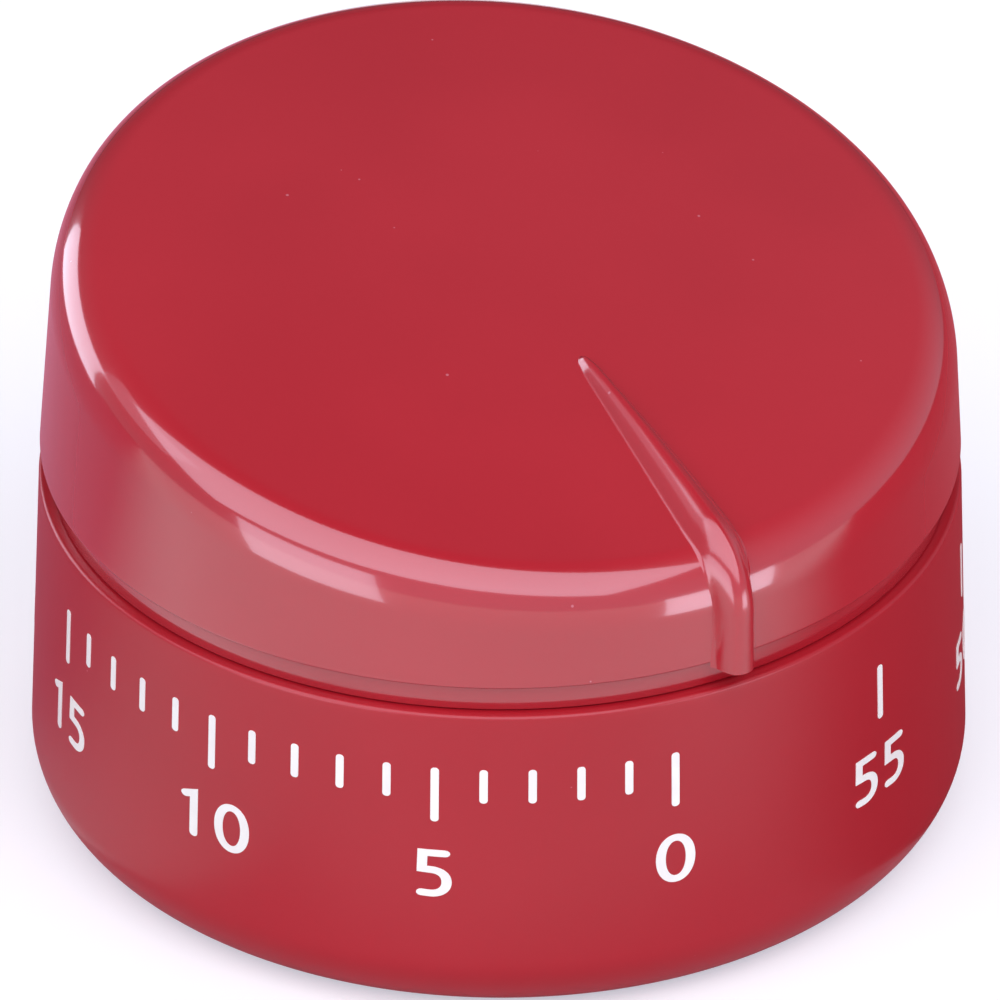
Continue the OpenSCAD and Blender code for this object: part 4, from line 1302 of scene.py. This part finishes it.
@dataclass
class Cap:
    """Slanted cap that turns to wind the timer, with its skirt, hub, ribs and stop lug."""

    edge_r: float = 32.2944
    edge_z: float = 27.2
    edge_round: float = 0.22
    skirt_r: float = 31.6
    skirt_in: float = 29.0944
    skirt_low: float = 25.12
    skirt_round: float = 0.14
    round_middle: float = 0.29
    corner_ease: float = 0.2
    lean: float = 4.9
    round_r: float = 3.2
    soft_r: float = 7.0
    soft_turn: float = 24.0
    shoulder_r: float = 29.0944
    top_z: float = 42.35
    tilt: float = 10.6
    dome_r: float = 350.0
    wall: float = 2.0
    roof_in: float = 0.4
    roof_drop: float = 0.5
    pointer_azimuth: float = 29.3
    hub_r: float = 5.0
    hub_low: float = 32.7
    hub_under: float = 2.0
    hub_bore: float = 2.52
    rib_count: int = 4
    rib_out: float = 19.0
    rib_overlap: float = 0.3
    rib_t: float = 1.2
    rib_low: float = 35.5
    rib_h: float = 3.0
    lug_r: float = 1.15
    lug_ring: float = 21.0
    lug_low: float = 32.0
    lug_under: float = 5.0
    end_h: float = 1.0
    steps: int = 288

    def dome(self, radius: float, azimuth: float, depth: float = 0.0) -> float:
        """Height of the slanted top, or of a face under it.

        Args:
            radius: Distance from the axis.
            azimuth: Azimuth of the point.
            depth: Distance under the top.

        Returns:
            The height above the table.
        """
        tilt, turn = math.radians(self.tilt), math.radians(azimuth - self.pointer_azimuth)
        u = radius * math.cos(turn) + self.dome_r * math.sin(tilt)
        v = radius * math.sin(turn)
        middle = self.top_z - self.dome_r * math.cos(tilt)
        return middle + math.sqrt((self.dome_r - depth) ** 2 - u * u - v * v)

    def shoulder_slope(self, azimuth: float) -> float:
        """Slope of the top at the shoulder, along the radius."""
        h = 0.01
        return (self.dome(self.shoulder_r + h, azimuth) - self.dome(self.shoulder_r - h, azimuth)) / (2 * h)

    def facing(self, azimuth: float) -> tuple[Vector, Vector]:
        """Directions that the side and the top's shoulder face, in the plane of an azimuth."""
        top = Vector((-self.shoulder_slope(azimuth), 1.0)).normalized()
        return heading(math.radians(self.lean)), top

    def round_centre(self, azimuth: float) -> Vector:
        """Middle of the rounded edge, which touches the side and the top.

        Args:
            azimuth: Azimuth of the section.

        Returns:
            Distance from the axis and height.
        """
        side, top = self.facing(azimuth)
        b = side.dot(Vector((self.edge_r, self.edge_z))) - self.round_r
        c = top.dot(Vector((self.shoulder_r, self.dome(self.shoulder_r, azimuth)))) - self.round_r
        det = side.x * top.y - side.y * top.x
        return Vector(((b * top.y - c * side.y) / det, (side.x * c - top.x * b) / det))

    def section(self, azimuth: float) -> Outline:
        """Section of the cap's shell, from the axis inside, down and out, and back to the axis on top.

        Args:
            azimuth: Azimuth of the section.

        Returns:
            Points as distance from the axis and height.
        """
        side, _ = self.facing(azimuth)
        centre = self.round_centre(azimuth)
        top_turn = math.degrees(math.atan2(1.0, -self.shoulder_slope(azimuth)))
        rounded = arc((centre.x, centre.y), self.round_r, self.soft_turn, top_turn, 18)
        ease = self.edge_round
        low_z = self.edge_z + ease
        low_r = (side.dot(Vector((self.edge_r, self.edge_z))) - ease - side.y * low_z) / side.x
        edge = arc((low_r, low_z), ease, -90.0, self.lean, 6)
        soft_at = centre - (self.soft_r - self.round_r) * heading(math.radians(self.soft_turn))
        away = Vector(edge[-1]) - soft_at
        lowest = math.degrees(math.atan2(away.y, away.x) + math.acos(self.soft_r / away.length))
        soft = arc((soft_at.x, soft_at.y), self.soft_r, lowest, self.soft_turn, 12)[:-1]
        flank = between(edge[-1], soft[0], (0.04, 0.15, 0.35, 0.6, 0.85, 0.96))
        last_r, roof_r = rounded[-1][0], self.skirt_in - self.roof_in
        roof = [(s * roof_r, self.dome(s * roof_r, azimuth, self.wall))
                for s in (0.0, 0.1, 0.3, 0.5, 0.7, 0.9, 1.0)]
        top = [(s * last_r, self.dome(s * last_r, azimuth))
               for s in (0.985, 0.95, 0.88, 0.78, 0.66, 0.54, 0.42, 0.3, 0.2, 0.1, 0.04, 0.0)]
        corner, middle = self.corner_ease, self.round_middle * self.skirt_round
        return [
            *roof, (self.skirt_in, roof[-1][1] - self.roof_drop), (self.skirt_in, self.skirt_low + corner),
            (self.skirt_in + corner, self.skirt_low), (self.skirt_r - self.skirt_round, self.skirt_low),
            (self.skirt_r - middle, self.skirt_low + middle),
            (self.skirt_r, self.skirt_low + self.skirt_round), (self.skirt_r, self.edge_z - corner),
            (self.skirt_r + corner, self.edge_z), *edge, *flank, *soft, *rounded, *top,
        ]

    def shell(self, bm: Shape) -> None:
        """Spins a plain tube of rings and moves every ring onto the section of its azimuth.

        Args:
            bm: The cap's mesh.
        """
        turn = 360.0 / self.steps
        sections = [self.section(turn * i) for i in range(self.steps)]
        tube = [(1.0, float(j)) for j in range(len(sections[0]))]
        for v in Lathe.turn(bm, tube, self.steps, closed=False):
            step = round(azimuth_of(v.co) / turn) % self.steps
            r, z = sections[step][round(v.co.z)]
            v.co = on_ring(r, turn * step, z)

    def meet_roof(self, verts: Iterable[Vert], above: float) -> None:
        """Runs the upper end of an inner form into the roof.

        Args:
            verts: Vertices of the form.
            above: Height over which they belong to its upper end.
        """
        for v in verts:
            if v.co.z > above:
                v.co.z = self.dome(v.co.xy.length, azimuth_of(v.co), self.wall / 2)

    def inside(self, bm: Shape) -> None:
        """Adds the hub, the ribs and the stop lug.

        Args:
            bm: The cap's mesh.
        """
        hub_top, lug_top = self.top_z - self.hub_under, self.top_z - self.lug_under
        hub = Lathe.post(bm, (0.0, 0.0), self.hub_r, self.hub_low, hub_top, self.hub_bore)
        self.meet_roof(hub, hub_top - self.end_h)
        lug = Lathe.post(bm, (self.lug_ring, self.pointer_azimuth), self.lug_r, self.lug_low, lug_top)
        self.meet_roof(lug, lug_top - self.end_h)
        inner, rib_middle = self.hub_r - self.rib_overlap, self.rib_low + self.rib_h / 2
        for i in range(self.rib_count):
            turn = self.pointer_azimuth + 360.0 * (i + 0.5) / self.rib_count
            rib = block(bm, (self.rib_t, self.rib_out - inner, self.rib_h),
                        ((self.rib_out + inner) / 2, rib_middle), turn)
            self.meet_roof(rib, rib_middle)

    def dress(self) -> None:
        """Builds the cap and gives it its finish."""
        bm = bmesh.new()
        self.shell(bm)
        self.inside(bm)
        Piece("cap_moulding", Body.DIAL, Slot.RED_PLASTIC, ("dial_cap",)).make(bm, CAP_PLASTIC.material())


@dataclass(frozen=True)
class Station:
    """One cross-section of the pointer ridge, in the plane of the pointer."""

    crest: Vector
    facing: Vector
    rise: float
    foot_half: float
    broad: float


@dataclass
class PointerRidge:
    """Pointer moulded on the cap: a ridge that grows from the top and runs over the edge."""

    cap: Cap
    tip_r: float = 11.1
    swing: float = 0.5
    rise: float = 1.8
    reach: float = 1.8
    bend_r: float = 6.0
    drop: float = 0.3
    sink: float = 0.03
    root: float = 0.7
    root_share: float = 0.8
    broad_from: float = 0.4
    along_top: int = 40
    along_bend: int = 28
    along_side: int = 8
    across: int = 64
    crowding: float = 1.6
    top_rises: Outline = field(default_factory=lambda: [
        (11.1, 0.0), (11.6, 0.42), (12.6, 0.68), (14.5, 0.88), (16.3, 1.03), (19.3, 1.27), (22.3, 1.44),
        (25.2, 1.6), (28.2, 1.71)])
    top_feet: Outline = field(default_factory=lambda: [
        (11.1, 0.16), (11.6, 0.5), (12.6, 0.74), (14.5, 0.9), (16.3, 1.04), (19.3, 1.3), (22.3, 1.52),
        (25.2, 1.73), (28.2, 1.92)])
    bend_feet: Outline = field(default_factory=lambda: [(1.0, 1.92), (1.35, 1.9), (1.7, 1.76), (2.0, 1.7)])

    def surface_depth(self, point: Vector, facing: Vector) -> float:
        """Depth of the cap's surface under a point in the plane of the pointer.

        Args:
            point: Distance from the axis and height.
            facing: Direction along which the depth is measured.

        Returns:
            The depth.
        """
        azimuth, radius = self.cap.pointer_azimuth, self.cap.round_r
        side, top = self.cap.facing(azimuth)
        away = point - self.cap.round_centre(azimuth)
        along = facing.dot(away)
        spare = along * along - away.dot(away) + radius * radius
        depth = along - math.sqrt(max(0.0, spare))
        hit = away - depth * facing
        turn = math.atan2(hit.y, hit.x)
        if spare > 0 and math.radians(self.cap.lean) < turn < math.atan2(top.y, top.x):
            return depth
        return max((side.dot(away) - radius) / side.dot(facing), (top.dot(away) - radius) / top.dot(facing))

    def stations(self) -> list[Station]:
        """Cross-sections from the tip over the edge to the lower end.

        Returns:
            The stations in order.
        """
        cap, azimuth = self.cap, self.cap.pointer_azimuth
        tip_z = cap.dome(self.tip_r, azimuth)
        end_z = cap.dome(cap.shoulder_r, azimuth) + self.rise
        slope = math.atan2(end_z - tip_z, cap.shoulder_r - self.tip_r)
        face_r = cap.edge_r + self.reach
        bend_x = face_r - self.bend_r
        bend_z = tip_z + (bend_x - self.tip_r) * math.tan(slope) - self.bend_r / math.cos(slope)
        bend_at = Vector((bend_x, bend_z))
        up = Vector((-math.sin(slope), math.cos(slope)))
        top_end = bend_at + self.bend_r * up
        made = []
        for i in range(self.along_top):
            share = (i / self.along_top) ** self.crowding
            r = self.tip_r + share * (top_end.x - self.tip_r)
            rise = read_curve(self.top_rises, r)
            crest = Vector((r, cap.dome(r, azimuth))) + rise * up
            made.append(Station(crest, up, rise, read_curve(self.top_feet, r), 0.0))
        for i in range(self.along_bend + 1):
            share = i / self.along_bend
            facing = heading((math.pi / 2 + slope) * (1 - share))
            crest = bend_at + self.bend_r * facing
            broad = smooth_step((share - self.broad_from) / (1.0 - self.broad_from))
            made.append(Station(crest, facing, self.surface_depth(crest, facing),
                                read_curve(self.bend_feet, 1 + share), broad))
        out, low = Vector((1.0, 0.0)), cap.edge_z - self.drop
        for i in range(1, self.along_side + 1):
            crest = Vector((face_r, bend_at.y + (low - bend_at.y) * i / self.along_side))
            made.append(Station(crest, out, self.surface_depth(crest, out), self.bend_feet[-1][1], 1.0))
        return made

    @staticmethod
    def fall(broad: float) -> Outline:
        """How fast the section falls from its crest to its foot, as knots of place and steepness.

        Args:
            broad: 0 for the roof-shaped section on top, 1 for the broad one on the side.

        Returns:
            Places from 0 at the crest to 1 at the foot, each with its steepness.
        """
        return [(0.0, 0.0), (0.08 + 0.26 * broad, 0.42 - 0.1 * broad),
                (0.36 + 0.22 * broad, 0.85 + 0.65 * broad), (0.8, 1.8 + 0.5 * broad), (1.0, 0.0)]

    def loop(self, station: Station) -> list[Vector]:
        """Closed loop of one cross-section, from foot to foot and back inside the cap's wall.

        Args:
            station: The cross-section.

        Returns:
            Points as distance from the axis, distance across and height.
        """
        ground = station.crest - station.rise * station.facing
        droop = station.facing.x / max(1.0, ground.x) + max(0.0, station.facing.y) / self.cap.dome_r
        knots = self.fall(station.broad)
        whole = area_right(knots, 0.0)
        points = []
        for i in range(self.across + 1):
            share = 2.0 * i / self.across - 1.0
            y = share * station.foot_half
            lift = station.rise * area_right(knots, abs(share)) / whole - droop * y * y / 2
            if i in (0, self.across):
                lift -= self.sink
            p = ground + lift * station.facing
            points.append(Vector((p.x, y, p.y)))
        deep = ground - self.root * station.facing
        left, right = points[0].y * self.root_share, points[-1].y * self.root_share
        return [*points, Vector((deep.x, right, deep.y)), Vector((deep.x, left, deep.y)), points[0]]

    def dress(self) -> None:
        """Shapes a grid into the ridge, with both ends drawn together, and gives it its finish."""
        loops = [self.loop(s) for s in self.stations()]
        for end in (0, -1):
            middle = sum(loops[end], Vector()) / len(loops[end])
            closed = [middle] * len(loops[end])
            loops.insert(0 if end == 0 else len(loops), closed)
        bm = bmesh.new()
        rows, columns = len(loops) - 1, len(loops[0]) - 1
        verts = bmesh.ops.create_grid(bm, x_segments=rows, y_segments=columns, size=0.5)["verts"]
        turn = self.cap.pointer_azimuth + self.swing
        for v in verts:
            r, y, z = loops[round((v.co.x + 0.5) * rows)][round((v.co.y + 0.5) * columns)]
            v.co = on_ring(r, turn, z) + on_ring(y, turn + 90.0, 0.0)
        ridge = Piece("pointer_ridge", Body.DIAL, Slot.RED_PLASTIC, sharp_degrees=50.0)
        ridge.make(bm, RIDGE_PLASTIC.material())


@dataclass
class Underside:
    """Bottom cover, its screws and the rubber foot ring."""

    base: Base
    foot_w: float = 4.0
    foot_round: float = 0.25
    foot_steps: int = 192
    foot_groove: tuple[Point, ...] = ((0.5, 0.0), (1.2, 0.0), (1.35, 0.2), (1.55, 0.2), (1.7, 0.0))
    cover_low: float = 0.8
    head_r: float = 2.0
    head_h: float = 1.0
    head_round: float = 0.25
    head_round_middle: Point = (0.08, 0.06)
    head_steps: int = 48
    head_turn: float = 25.0
    shank_r: float = 1.1
    shank_top: float = 9.0
    shank_ease: float = 0.4
    clear: float = 0.02
    recess_w: float = 0.55
    recess_reach: float = 1.15
    recess_deep: float = 0.6

    def foot_ring(self) -> None:
        """Turns the foot ring with rounded edges and two grip grooves, and gives it its finish."""
        _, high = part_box("foot_ring")
        outer, top = high.x / MM, high.z / MM
        inner, ease = outer - self.foot_w, self.foot_round
        groove = [(inner + x, z) for x, z in self.foot_groove]
        groove += [(outer - x, z) for x, z in reversed(self.foot_groove)]
        profile = [*arc((inner + ease, ease), ease, 180.0, 270.0, 5), *groove,
                   *arc((outer - ease, ease), ease, 270.0, 360.0, 5), (outer, top), (inner, top)]
        bm = bmesh.new()
        Lathe.turn(bm, profile, self.foot_steps)
        Piece("foot_pad", Body.CASE, Slot.FOOT_RUBBER, ("foot_ring",)).make(bm, RUBBER.material())

    def screw(self, bm: Shape, azimuth: float) -> None:
        """Adds one cover screw with a cross recess in its head.

        Args:
            bm: Mesh of all screws.
            azimuth: Azimuth of the screw.
        """
        old = set(bm.verts)
        self.sink_recess(bm)
        new = [v for v in bm.verts if v not in old]
        low = self.cover_low + self.clear
        bmesh.ops.translate(bm, verts=new, vec=(0, 0, low))
        seat, (middle_r, middle_z) = low + self.head_h - 2 * self.clear, self.head_round_middle
        self.draw_out(bm, [e for v in new for e in v.link_edges if e.is_boundary], [
            (self.head_r - self.head_round, low), (self.head_r - middle_r, low + middle_z),
            (self.head_r, low + self.head_round), (self.head_r, seat), (self.shank_r, seat),
            (self.shank_r, self.shank_top - self.shank_ease),
            (self.shank_r - self.shank_ease, self.shank_top), (0.0, self.shank_top)])
        new = [v for v in bm.verts if v not in old]
        turn_verts(bm, new, azimuth + self.head_turn)
        bmesh.ops.translate(bm, verts=new, vec=on_ring(self.base.boss_ring, azimuth, 0.0))

    def sink_recess(self, bm: Shape) -> None:
        """Adds the flat face of a screw's head and sinks the cross recess into it.

        Args:
            bm: Mesh of all screws.
        """
        made = bmesh.ops.create_circle(bm, cap_ends=True, segments=self.head_steps,
                                       radius=self.head_r - self.head_round)["verts"]
        face = next(iter(made[0].link_faces))
        geom = [face, *face.edges, *face.verts]
        for axis in (Vector((1, 0, 0)), Vector((0, 1, 0))):
            for place in (-self.recess_reach, -self.recess_w / 2, self.recess_w / 2, self.recess_reach):
                cut = bmesh.ops.bisect_plane(bm, geom=geom, dist=TINY, plane_co=axis * place, plane_no=axis)
                geom = cut["geom"]
        cross = [f for f in only(Face, geom) if self.in_recess(f.calc_center_median())]
        sunk = bmesh.ops.extrude_face_region(bm, geom=cross)["geom"]
        bmesh.ops.translate(bm, verts=only(Vert, sunk), vec=(0, 0, self.recess_deep))
        bmesh.ops.delete(bm, geom=cross, context="FACES")

    @staticmethod
    def draw_out(bm: Shape, rim: Iterable[bmesh.types.BMEdge], profile: Outline) -> None:
        """Draws a round edge out along a profile, ring by ring.

        Args:
            bm: Mesh that holds the edge.
            rim: Edges of the round edge.
            profile: Points as distance from the axis and height, of which the first is the edge's own.
        """
        for (r, z), (next_r, next_z) in zip(profile, profile[1:]):
            made = bmesh.ops.extrude_edge_only(bm, edges=list(set(rim)))["geom"]
            ring = set(only(Vert, made))
            rim = [e for v in ring for e in v.link_edges if ring.issuperset(e.verts)]
            bmesh.ops.scale(bm, verts=list(ring), vec=(next_r / r, next_r / r, 1.0))
            bmesh.ops.translate(bm, verts=list(ring), vec=(0, 0, next_z - z))

    def in_recess(self, middle: Vector) -> bool:
        """Whether a face of the head belongs to the cross recess."""
        x, y = abs(middle.x), abs(middle.y)
        return min(x, y) < self.recess_w / 2 and max(x, y) < self.recess_reach

    def dress(self) -> None:
        """Builds the pieces of the underside and gives the cover its finish."""
        self.foot_ring()
        screws = bmesh.new()
        for azimuth in self.base.boss_azimuths:
            self.screw(screws, azimuth)
        Piece("cover_screw_set", Body.CASE, Slot.STEEL, ("cover_screws",)).make(
            screws, TURNED_STEEL.material())
        Inside.paint("bottom_cover", BASE_PLASTIC)


@dataclass
class Inside:
    """Bell and movement, whose CAD shapes stay and get their finishes."""

    finishes: dict[str, Finish] = field(default_factory=lambda: {
        **dict.fromkeys((
            "gong", "top_plate", "bottom_plate", "spring_post", "cam_disc", "hammer_lever", "hammer_rod",
            "catch_arm", "detent_lever", "click"), BRUSHED_STEEL),
        **dict.fromkeys((
            "gong_screw", "pillar_screws", "movement_screws", "main_arbor", "hub_ring", "arbor_washer",
            "click_stud", "detent_stud", "second_arbor", "third_arbor", "escape_arbor", "pallet_staff",
            "hammer_staff", "pillars", "ratchet_wheel", "star_wheel", "pallet_lever"), TURNED_STEEL),
        **dict.fromkeys(("mainspring", "detent_spring"), BLUED_STEEL),
        **dict.fromkeys((
            "upper_bushes", "lower_bushes", "main_wheel", "second_wheel", "third_wheel", "escape_wheel",
            "balance_wheel", "hammer_head"), TURNED_BRASS),
    })

    @staticmethod
    def paint(node: str, finish: Finish) -> None:
        """Gives a CAD node its finish.

        Args:
            node: Name of the node.
            finish: Finish of its surface.
        """
        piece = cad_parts[node]
        if not piece.material_slots:
            piece.data.materials.append(None)
        for place in piece.material_slots:
            place.material = finish.material()
        log.info("%s: %s", node, finish.name)

    def dress(self) -> None:
        """Gives every inner node its finish."""
        for node, finish in self.finishes.items():
            self.paint(node, finish)


@dataclass
class ClickSpring:
    """Bowed blade on its post that presses the click. The real blade is squeezed when the click lifts; here
    it keeps one shape.
    """

    post_spot: Point = (11.0009, -145.513)
    press_spot: Point = (7.5801, -139.94)
    post_r: float = 0.7
    post_low: float = 20.6
    post_high: float = 23.0
    blade_t: float = 0.3
    blade_low: float = 22.1
    blade_high: float = 22.9
    bow: float = 0.7
    steps: int = 32
    held: float = 0.22

    def dress(self) -> None:
        """Bends a strip from the post to the click and gives it its finish."""
        bm = bmesh.new()
        start, end = on_ring(*self.post_spot, 0.0), on_ring(*self.press_spot, 0.0)
        run = end - start
        side = Vector((-run.y, run.x, 0.0)).normalized()
        bmesh.ops.create_cube(bm, size=1.0)
        along = [e for e in bm.edges if abs(e.verts[0].co.x - e.verts[1].co.x) > 0.5]
        bmesh.ops.subdivide_edges(bm, edges=along, cuts=self.steps - 1, use_grid_fill=True)
        for v in bm.verts:
            share, across, up = v.co.x + 0.5, v.co.y * self.blade_t, v.co.z + 0.5
            way = run + self.bow * math.pi * math.cos(math.pi * share) * side
            out = Vector((-way.y, way.x, 0.0)).normalized()
            v.co = start + share * run + self.bow * math.sin(math.pi * share) * side + across * out
            v.co.z = self.blade_low + up * (self.blade_high - self.blade_low)
        Lathe.post(bm, self.post_spot, self.post_r, self.post_low, self.post_high)
        bend = Bend(Body.CLICK, start + self.held * run, end)
        Piece("click_blade", Body.MAIN_DRIVE, Slot.BLUED_STEEL, ("click_spring",), bend=bend).make(
            bm, BLUED_STEEL.material())


@dataclass(frozen=True)
class Panel:
    """Soft light panel, named by where it stands as seen from the object."""

    name: str
    azimuth: float
    elevation: float
    distance: float
    wide: float
    tall: float
    radiance: float
    shines: Shines
    tint: Colour = (1.0, 1.0, 1.0)

    def hang(self, aim: Vector) -> None:
        """Hangs the panel so that it faces the aim.

        Args:
            aim: Point that the panel faces, in metres.
        """
        lamp = bpy.data.lights.new(self.name, "AREA")
        lamp.shape = "RECTANGLE"
        lamp.size, lamp.size_y = self.wide, self.tall
        lamp.energy = self.radiance * math.pi * self.wide * self.tall
        lamp.color = self.tint
        rise = math.radians(self.elevation)
        way = on_ring(math.cos(rise), self.azimuth, math.sin(rise))
        holder = add_object(self.name, lamp)
        holder.location = aim + way * self.distance
        holder.rotation_euler = (-way).to_track_quat("-Z", "Y").to_euler()
        holder.visible_camera = False
        holder.visible_diffuse = self.shines is Shines.MATT
        holder.visible_glossy = self.shines is Shines.GLOSS


@dataclass(frozen=True)
class Card:
    """Sheet on the floor that only the gloss sees: a painted reflection of shaded floor, darker and redder
    than the white floor. It fades in from its near side, and its sides are in metres.
    """

    box: Box
    fade: float
    tone: Colour


@dataclass
class Studio:
    """Pale floor, soft panels, surroundings and the camera."""

    aim: tuple[float, float, float] = (0.0, 0.0, 20.0)
    elevation: float = 32.566
    distance: float = 1346.3
    raised: float = 1.747
    roll: float = 0.343
    lens: float = 689.6
    sensor: float = 36.0
    floor_half: float = 3.0
    floor_z: float = -0.00003
    floor_tone: Colour = (0.6, 0.6, 0.6)
    floor_glow: Colour = (0.45, 0.443, 0.5)
    tint: Colour = (0.98, 1.0, 1.2)
    right: float = 0.65
    left: float = 0.4
    back: float = 0.3
    front: float = 0.8
    above: float = 0.1
    gloss_behind: float = 0.3
    dim_from: float = 0.6
    dim_to: float = 0.92
    card_z: float = 0.0004
    # Painted reflections of shaded floor, seen only in the gloss: to the left and behind, to the right, and
    # the contact shadow in front of the base.
    cards: tuple[Card, ...] = (
        Card((-2.9, -0.031, -0.03, 2.9), 0.04, (0.6, 0.2, 0.28)),
        Card((0.031, 2.9, -0.055, 2.9), 0.04, (0.5, 0.09, 0.11)),
        Card((-0.031, 0.031, -0.052, 0.02), 0.018, (0.75, 0.42, 0.48)))

    def panels(self) -> tuple[Panel, ...]:
        """Soft panels: three that light the colour, and those that the gloss mirrors.

        Returns:
            The panels.
        """
        return (
            Panel("front_light", -12.0, 53.0, 1.4, 2.8, 1.5, 1.85, Shines.MATT),
            Panel("top_right_light", 55.0, 55.0, 1.4, 0.8, 0.8, 1.4, Shines.MATT),
            Panel("back_light", 176.0, 38.0, 1.4, 2.2, 1.0, 0.6, Shines.MATT),
            Panel("front_panel", -19.0, 53.0, 1.4, 3.2, 1.7, 2.3, Shines.GLOSS, self.tint),
            Panel("left_soft_panel", -94.0, 38.0, 1.4, 0.6, 0.6, 0.6, Shines.GLOSS, self.tint),
            Panel("left_low_panel", -38.3, 4.3, 0.1214, 0.0655, 0.05, 2.7, Shines.GLOSS, self.tint),
            Panel("right_low_panel", 47.0, -1.4, 0.12, 0.052, 0.032, 3.4, Shines.GLOSS, self.tint),
            Panel("left_back_panel", -124.0, 12.0, 0.6, 0.36, 0.4, 3.5, Shines.GLOSS, self.tint),
        )

    @staticmethod
    def lay(name: str, box: Box, height: float, material: Material) -> bpy.types.Object:
        """Lays a flat sheet that belongs to the stage.

        Args:
            name: Name of the sheet.
            box: Its left, right, near and far sides, in metres.
            height: Its height, in metres.
            material: Its material.

        Returns:
            The sheet.
        """
        bm = bmesh.new()
        left, right, near, far = box
        verts = bmesh.ops.create_grid(bm, x_segments=1, y_segments=1, size=0.5)["verts"]
        bmesh.ops.scale(bm, verts=verts, vec=(right - left, far - near, 1.0))
        bmesh.ops.translate(bm, verts=verts, vec=((left + right) / 2, (near + far) / 2, height))
        mesh = bpy.data.meshes.new(name)
        bm.to_mesh(mesh)
        bm.free()
        mesh.materials.append(material)
        sheet = add_object(name, mesh)
        return sheet

    @staticmethod
    def matt(name: str, tone: Colour) -> tuple[Material, Bench, Node]:
        """Starts a matt material of the stage.

        Args:
            name: Name of the material.
            tone: Its colour.

        Returns:
            The material, its bench and its shader.
        """
        material, bench, shader = start_material(name)
        for key, value in (("Base Color", rgba(tone)), ("Roughness", 0.9), ("Specular IOR Level", 0.0)):
            bench.feed(value, shader.inputs[key])
        return material, bench, shader

    def ground(self) -> None:
        """Lays the pale floor, which looks white, and red sheets on it that only the gloss mirrors, as
        painted reflections of shaded floor and of the contact shadow.
        """
        half = self.floor_half
        material, bench, shader = self.matt("floor", self.floor_tone)
        path = bench.put("ShaderNodeLightPath").outputs
        seen = bench.math("MAXIMUM", path["Is Camera Ray"], path["Is Glossy Ray"])
        seen = bench.math("MAXIMUM", seen, path["Is Transmission Ray"])
        shader.inputs["Emission Color"].default_value = rgba(self.floor_glow)
        bench.feed(seen, shader.inputs["Emission Strength"])
        self.lay("floor", (-half, half, -half, half), self.floor_z, material)
        # Each sheet paints a darker, redder reflection of shaded floor; camera, matt and shadow rays pass
        # through it.
        for i, card in enumerate(self.cards):
            material, bench, shader = self.matt(f"card_{i}", card.tone)
            place = bench.put("ShaderNodeTexCoord").outputs["Object"]
            y = bench.put("ShaderNodeSeparateXYZ", {0: place}).outputs["Y"]
            near = card.box[2]
            bench.feed(bench.spread(y, near, near + card.fade, 0.0, 1.0), shader.inputs["Alpha"])
            sheet = self.lay(f"card_{i}", card.box, self.card_z, material)
            sheet.visible_camera = sheet.visible_diffuse = sheet.visible_shadow = False

    def surroundings(self) -> None:
        """Makes a world with its own brightness on each side, which the gloss sees dimmer behind."""
        world = bpy.data.worlds.new("studio")
        bpy.context.scene.world = world
        world.use_nodes = True
        bench = Bench(world.node_tree)
        way = bench.put("ShaderNodeTexCoord").outputs["Generated"]
        sides = ((self.left, self.right), (self.front, self.back), (0.0, self.above))
        total: Feed = 0.0
        places = bench.put("ShaderNodeSeparateXYZ", {0: way}).outputs
        for part, (low, high) in zip(places, sides):
            tone = bench.choose(bench.math("GREATER_THAN", part, 0.0), low, high)
            total = bench.math("ADD", total, bench.math("MULTIPLY", tone, bench.math("MULTIPLY", part, part)))
        behind = bench.spread(places["Y"], self.dim_from, self.dim_to, 1.0, self.gloss_behind)
        gloss = bench.put("ShaderNodeLightPath").outputs["Is Glossy Ray"]
        strength = bench.math("MULTIPLY", total, bench.choose(gloss, 1.0, behind))
        light = bench.put("ShaderNodeBackground", {"Color": rgba(self.tint), "Strength": strength})
        bench.put("ShaderNodeOutputWorld", {"Surface": light.outputs[0]})

    def camera(self) -> None:
        """Sets the camera at the photograph's viewing angle."""
        rise = math.radians(self.elevation)
        back = Vector((0.0, -math.cos(rise), math.sin(rise)))
        turn = (-back).to_track_quat("-Z", "Y")
        spot = Vector(self.aim) + back * self.distance + turn @ Vector((0.0, self.raised, 0.0))
        data = bpy.data.cameras.new("camera")
        data.lens, data.sensor_width = self.lens, self.sensor
        holder = add_object("camera", data)
        holder.location = spot * MM
        holder.rotation_mode = "QUATERNION"
        holder.rotation_quaternion = turn @ Quaternion((0.0, 0.0, 1.0), math.radians(self.roll))
        bpy.context.scene.camera = holder

    def dress(self) -> None:
        """Sets up the whole studio."""
        self.camera()
        self.ground()
        self.surroundings()
        for panel in self.panels():
            panel.hang(Vector(self.aim) * MM)
        bpy.context.scene.view_settings.view_transform = "Standard"


def main() -> None:
    """Builds every sub-assembly in order and reports each piece."""
    logging.basicConfig(level=logging.INFO, format="%(message)s")
    base, cap = Base(), Cap()
    assemblies = (Studio(), base, MinuteScale(base), cap, PointerRidge(cap), Underside(base), ClickSpring(),
                  Inside())
    for assembly in assemblies:
        assembly.dress()
        log.info("%s is dressed", type(assembly).__name__)


if __name__ == "__main__":
    main()
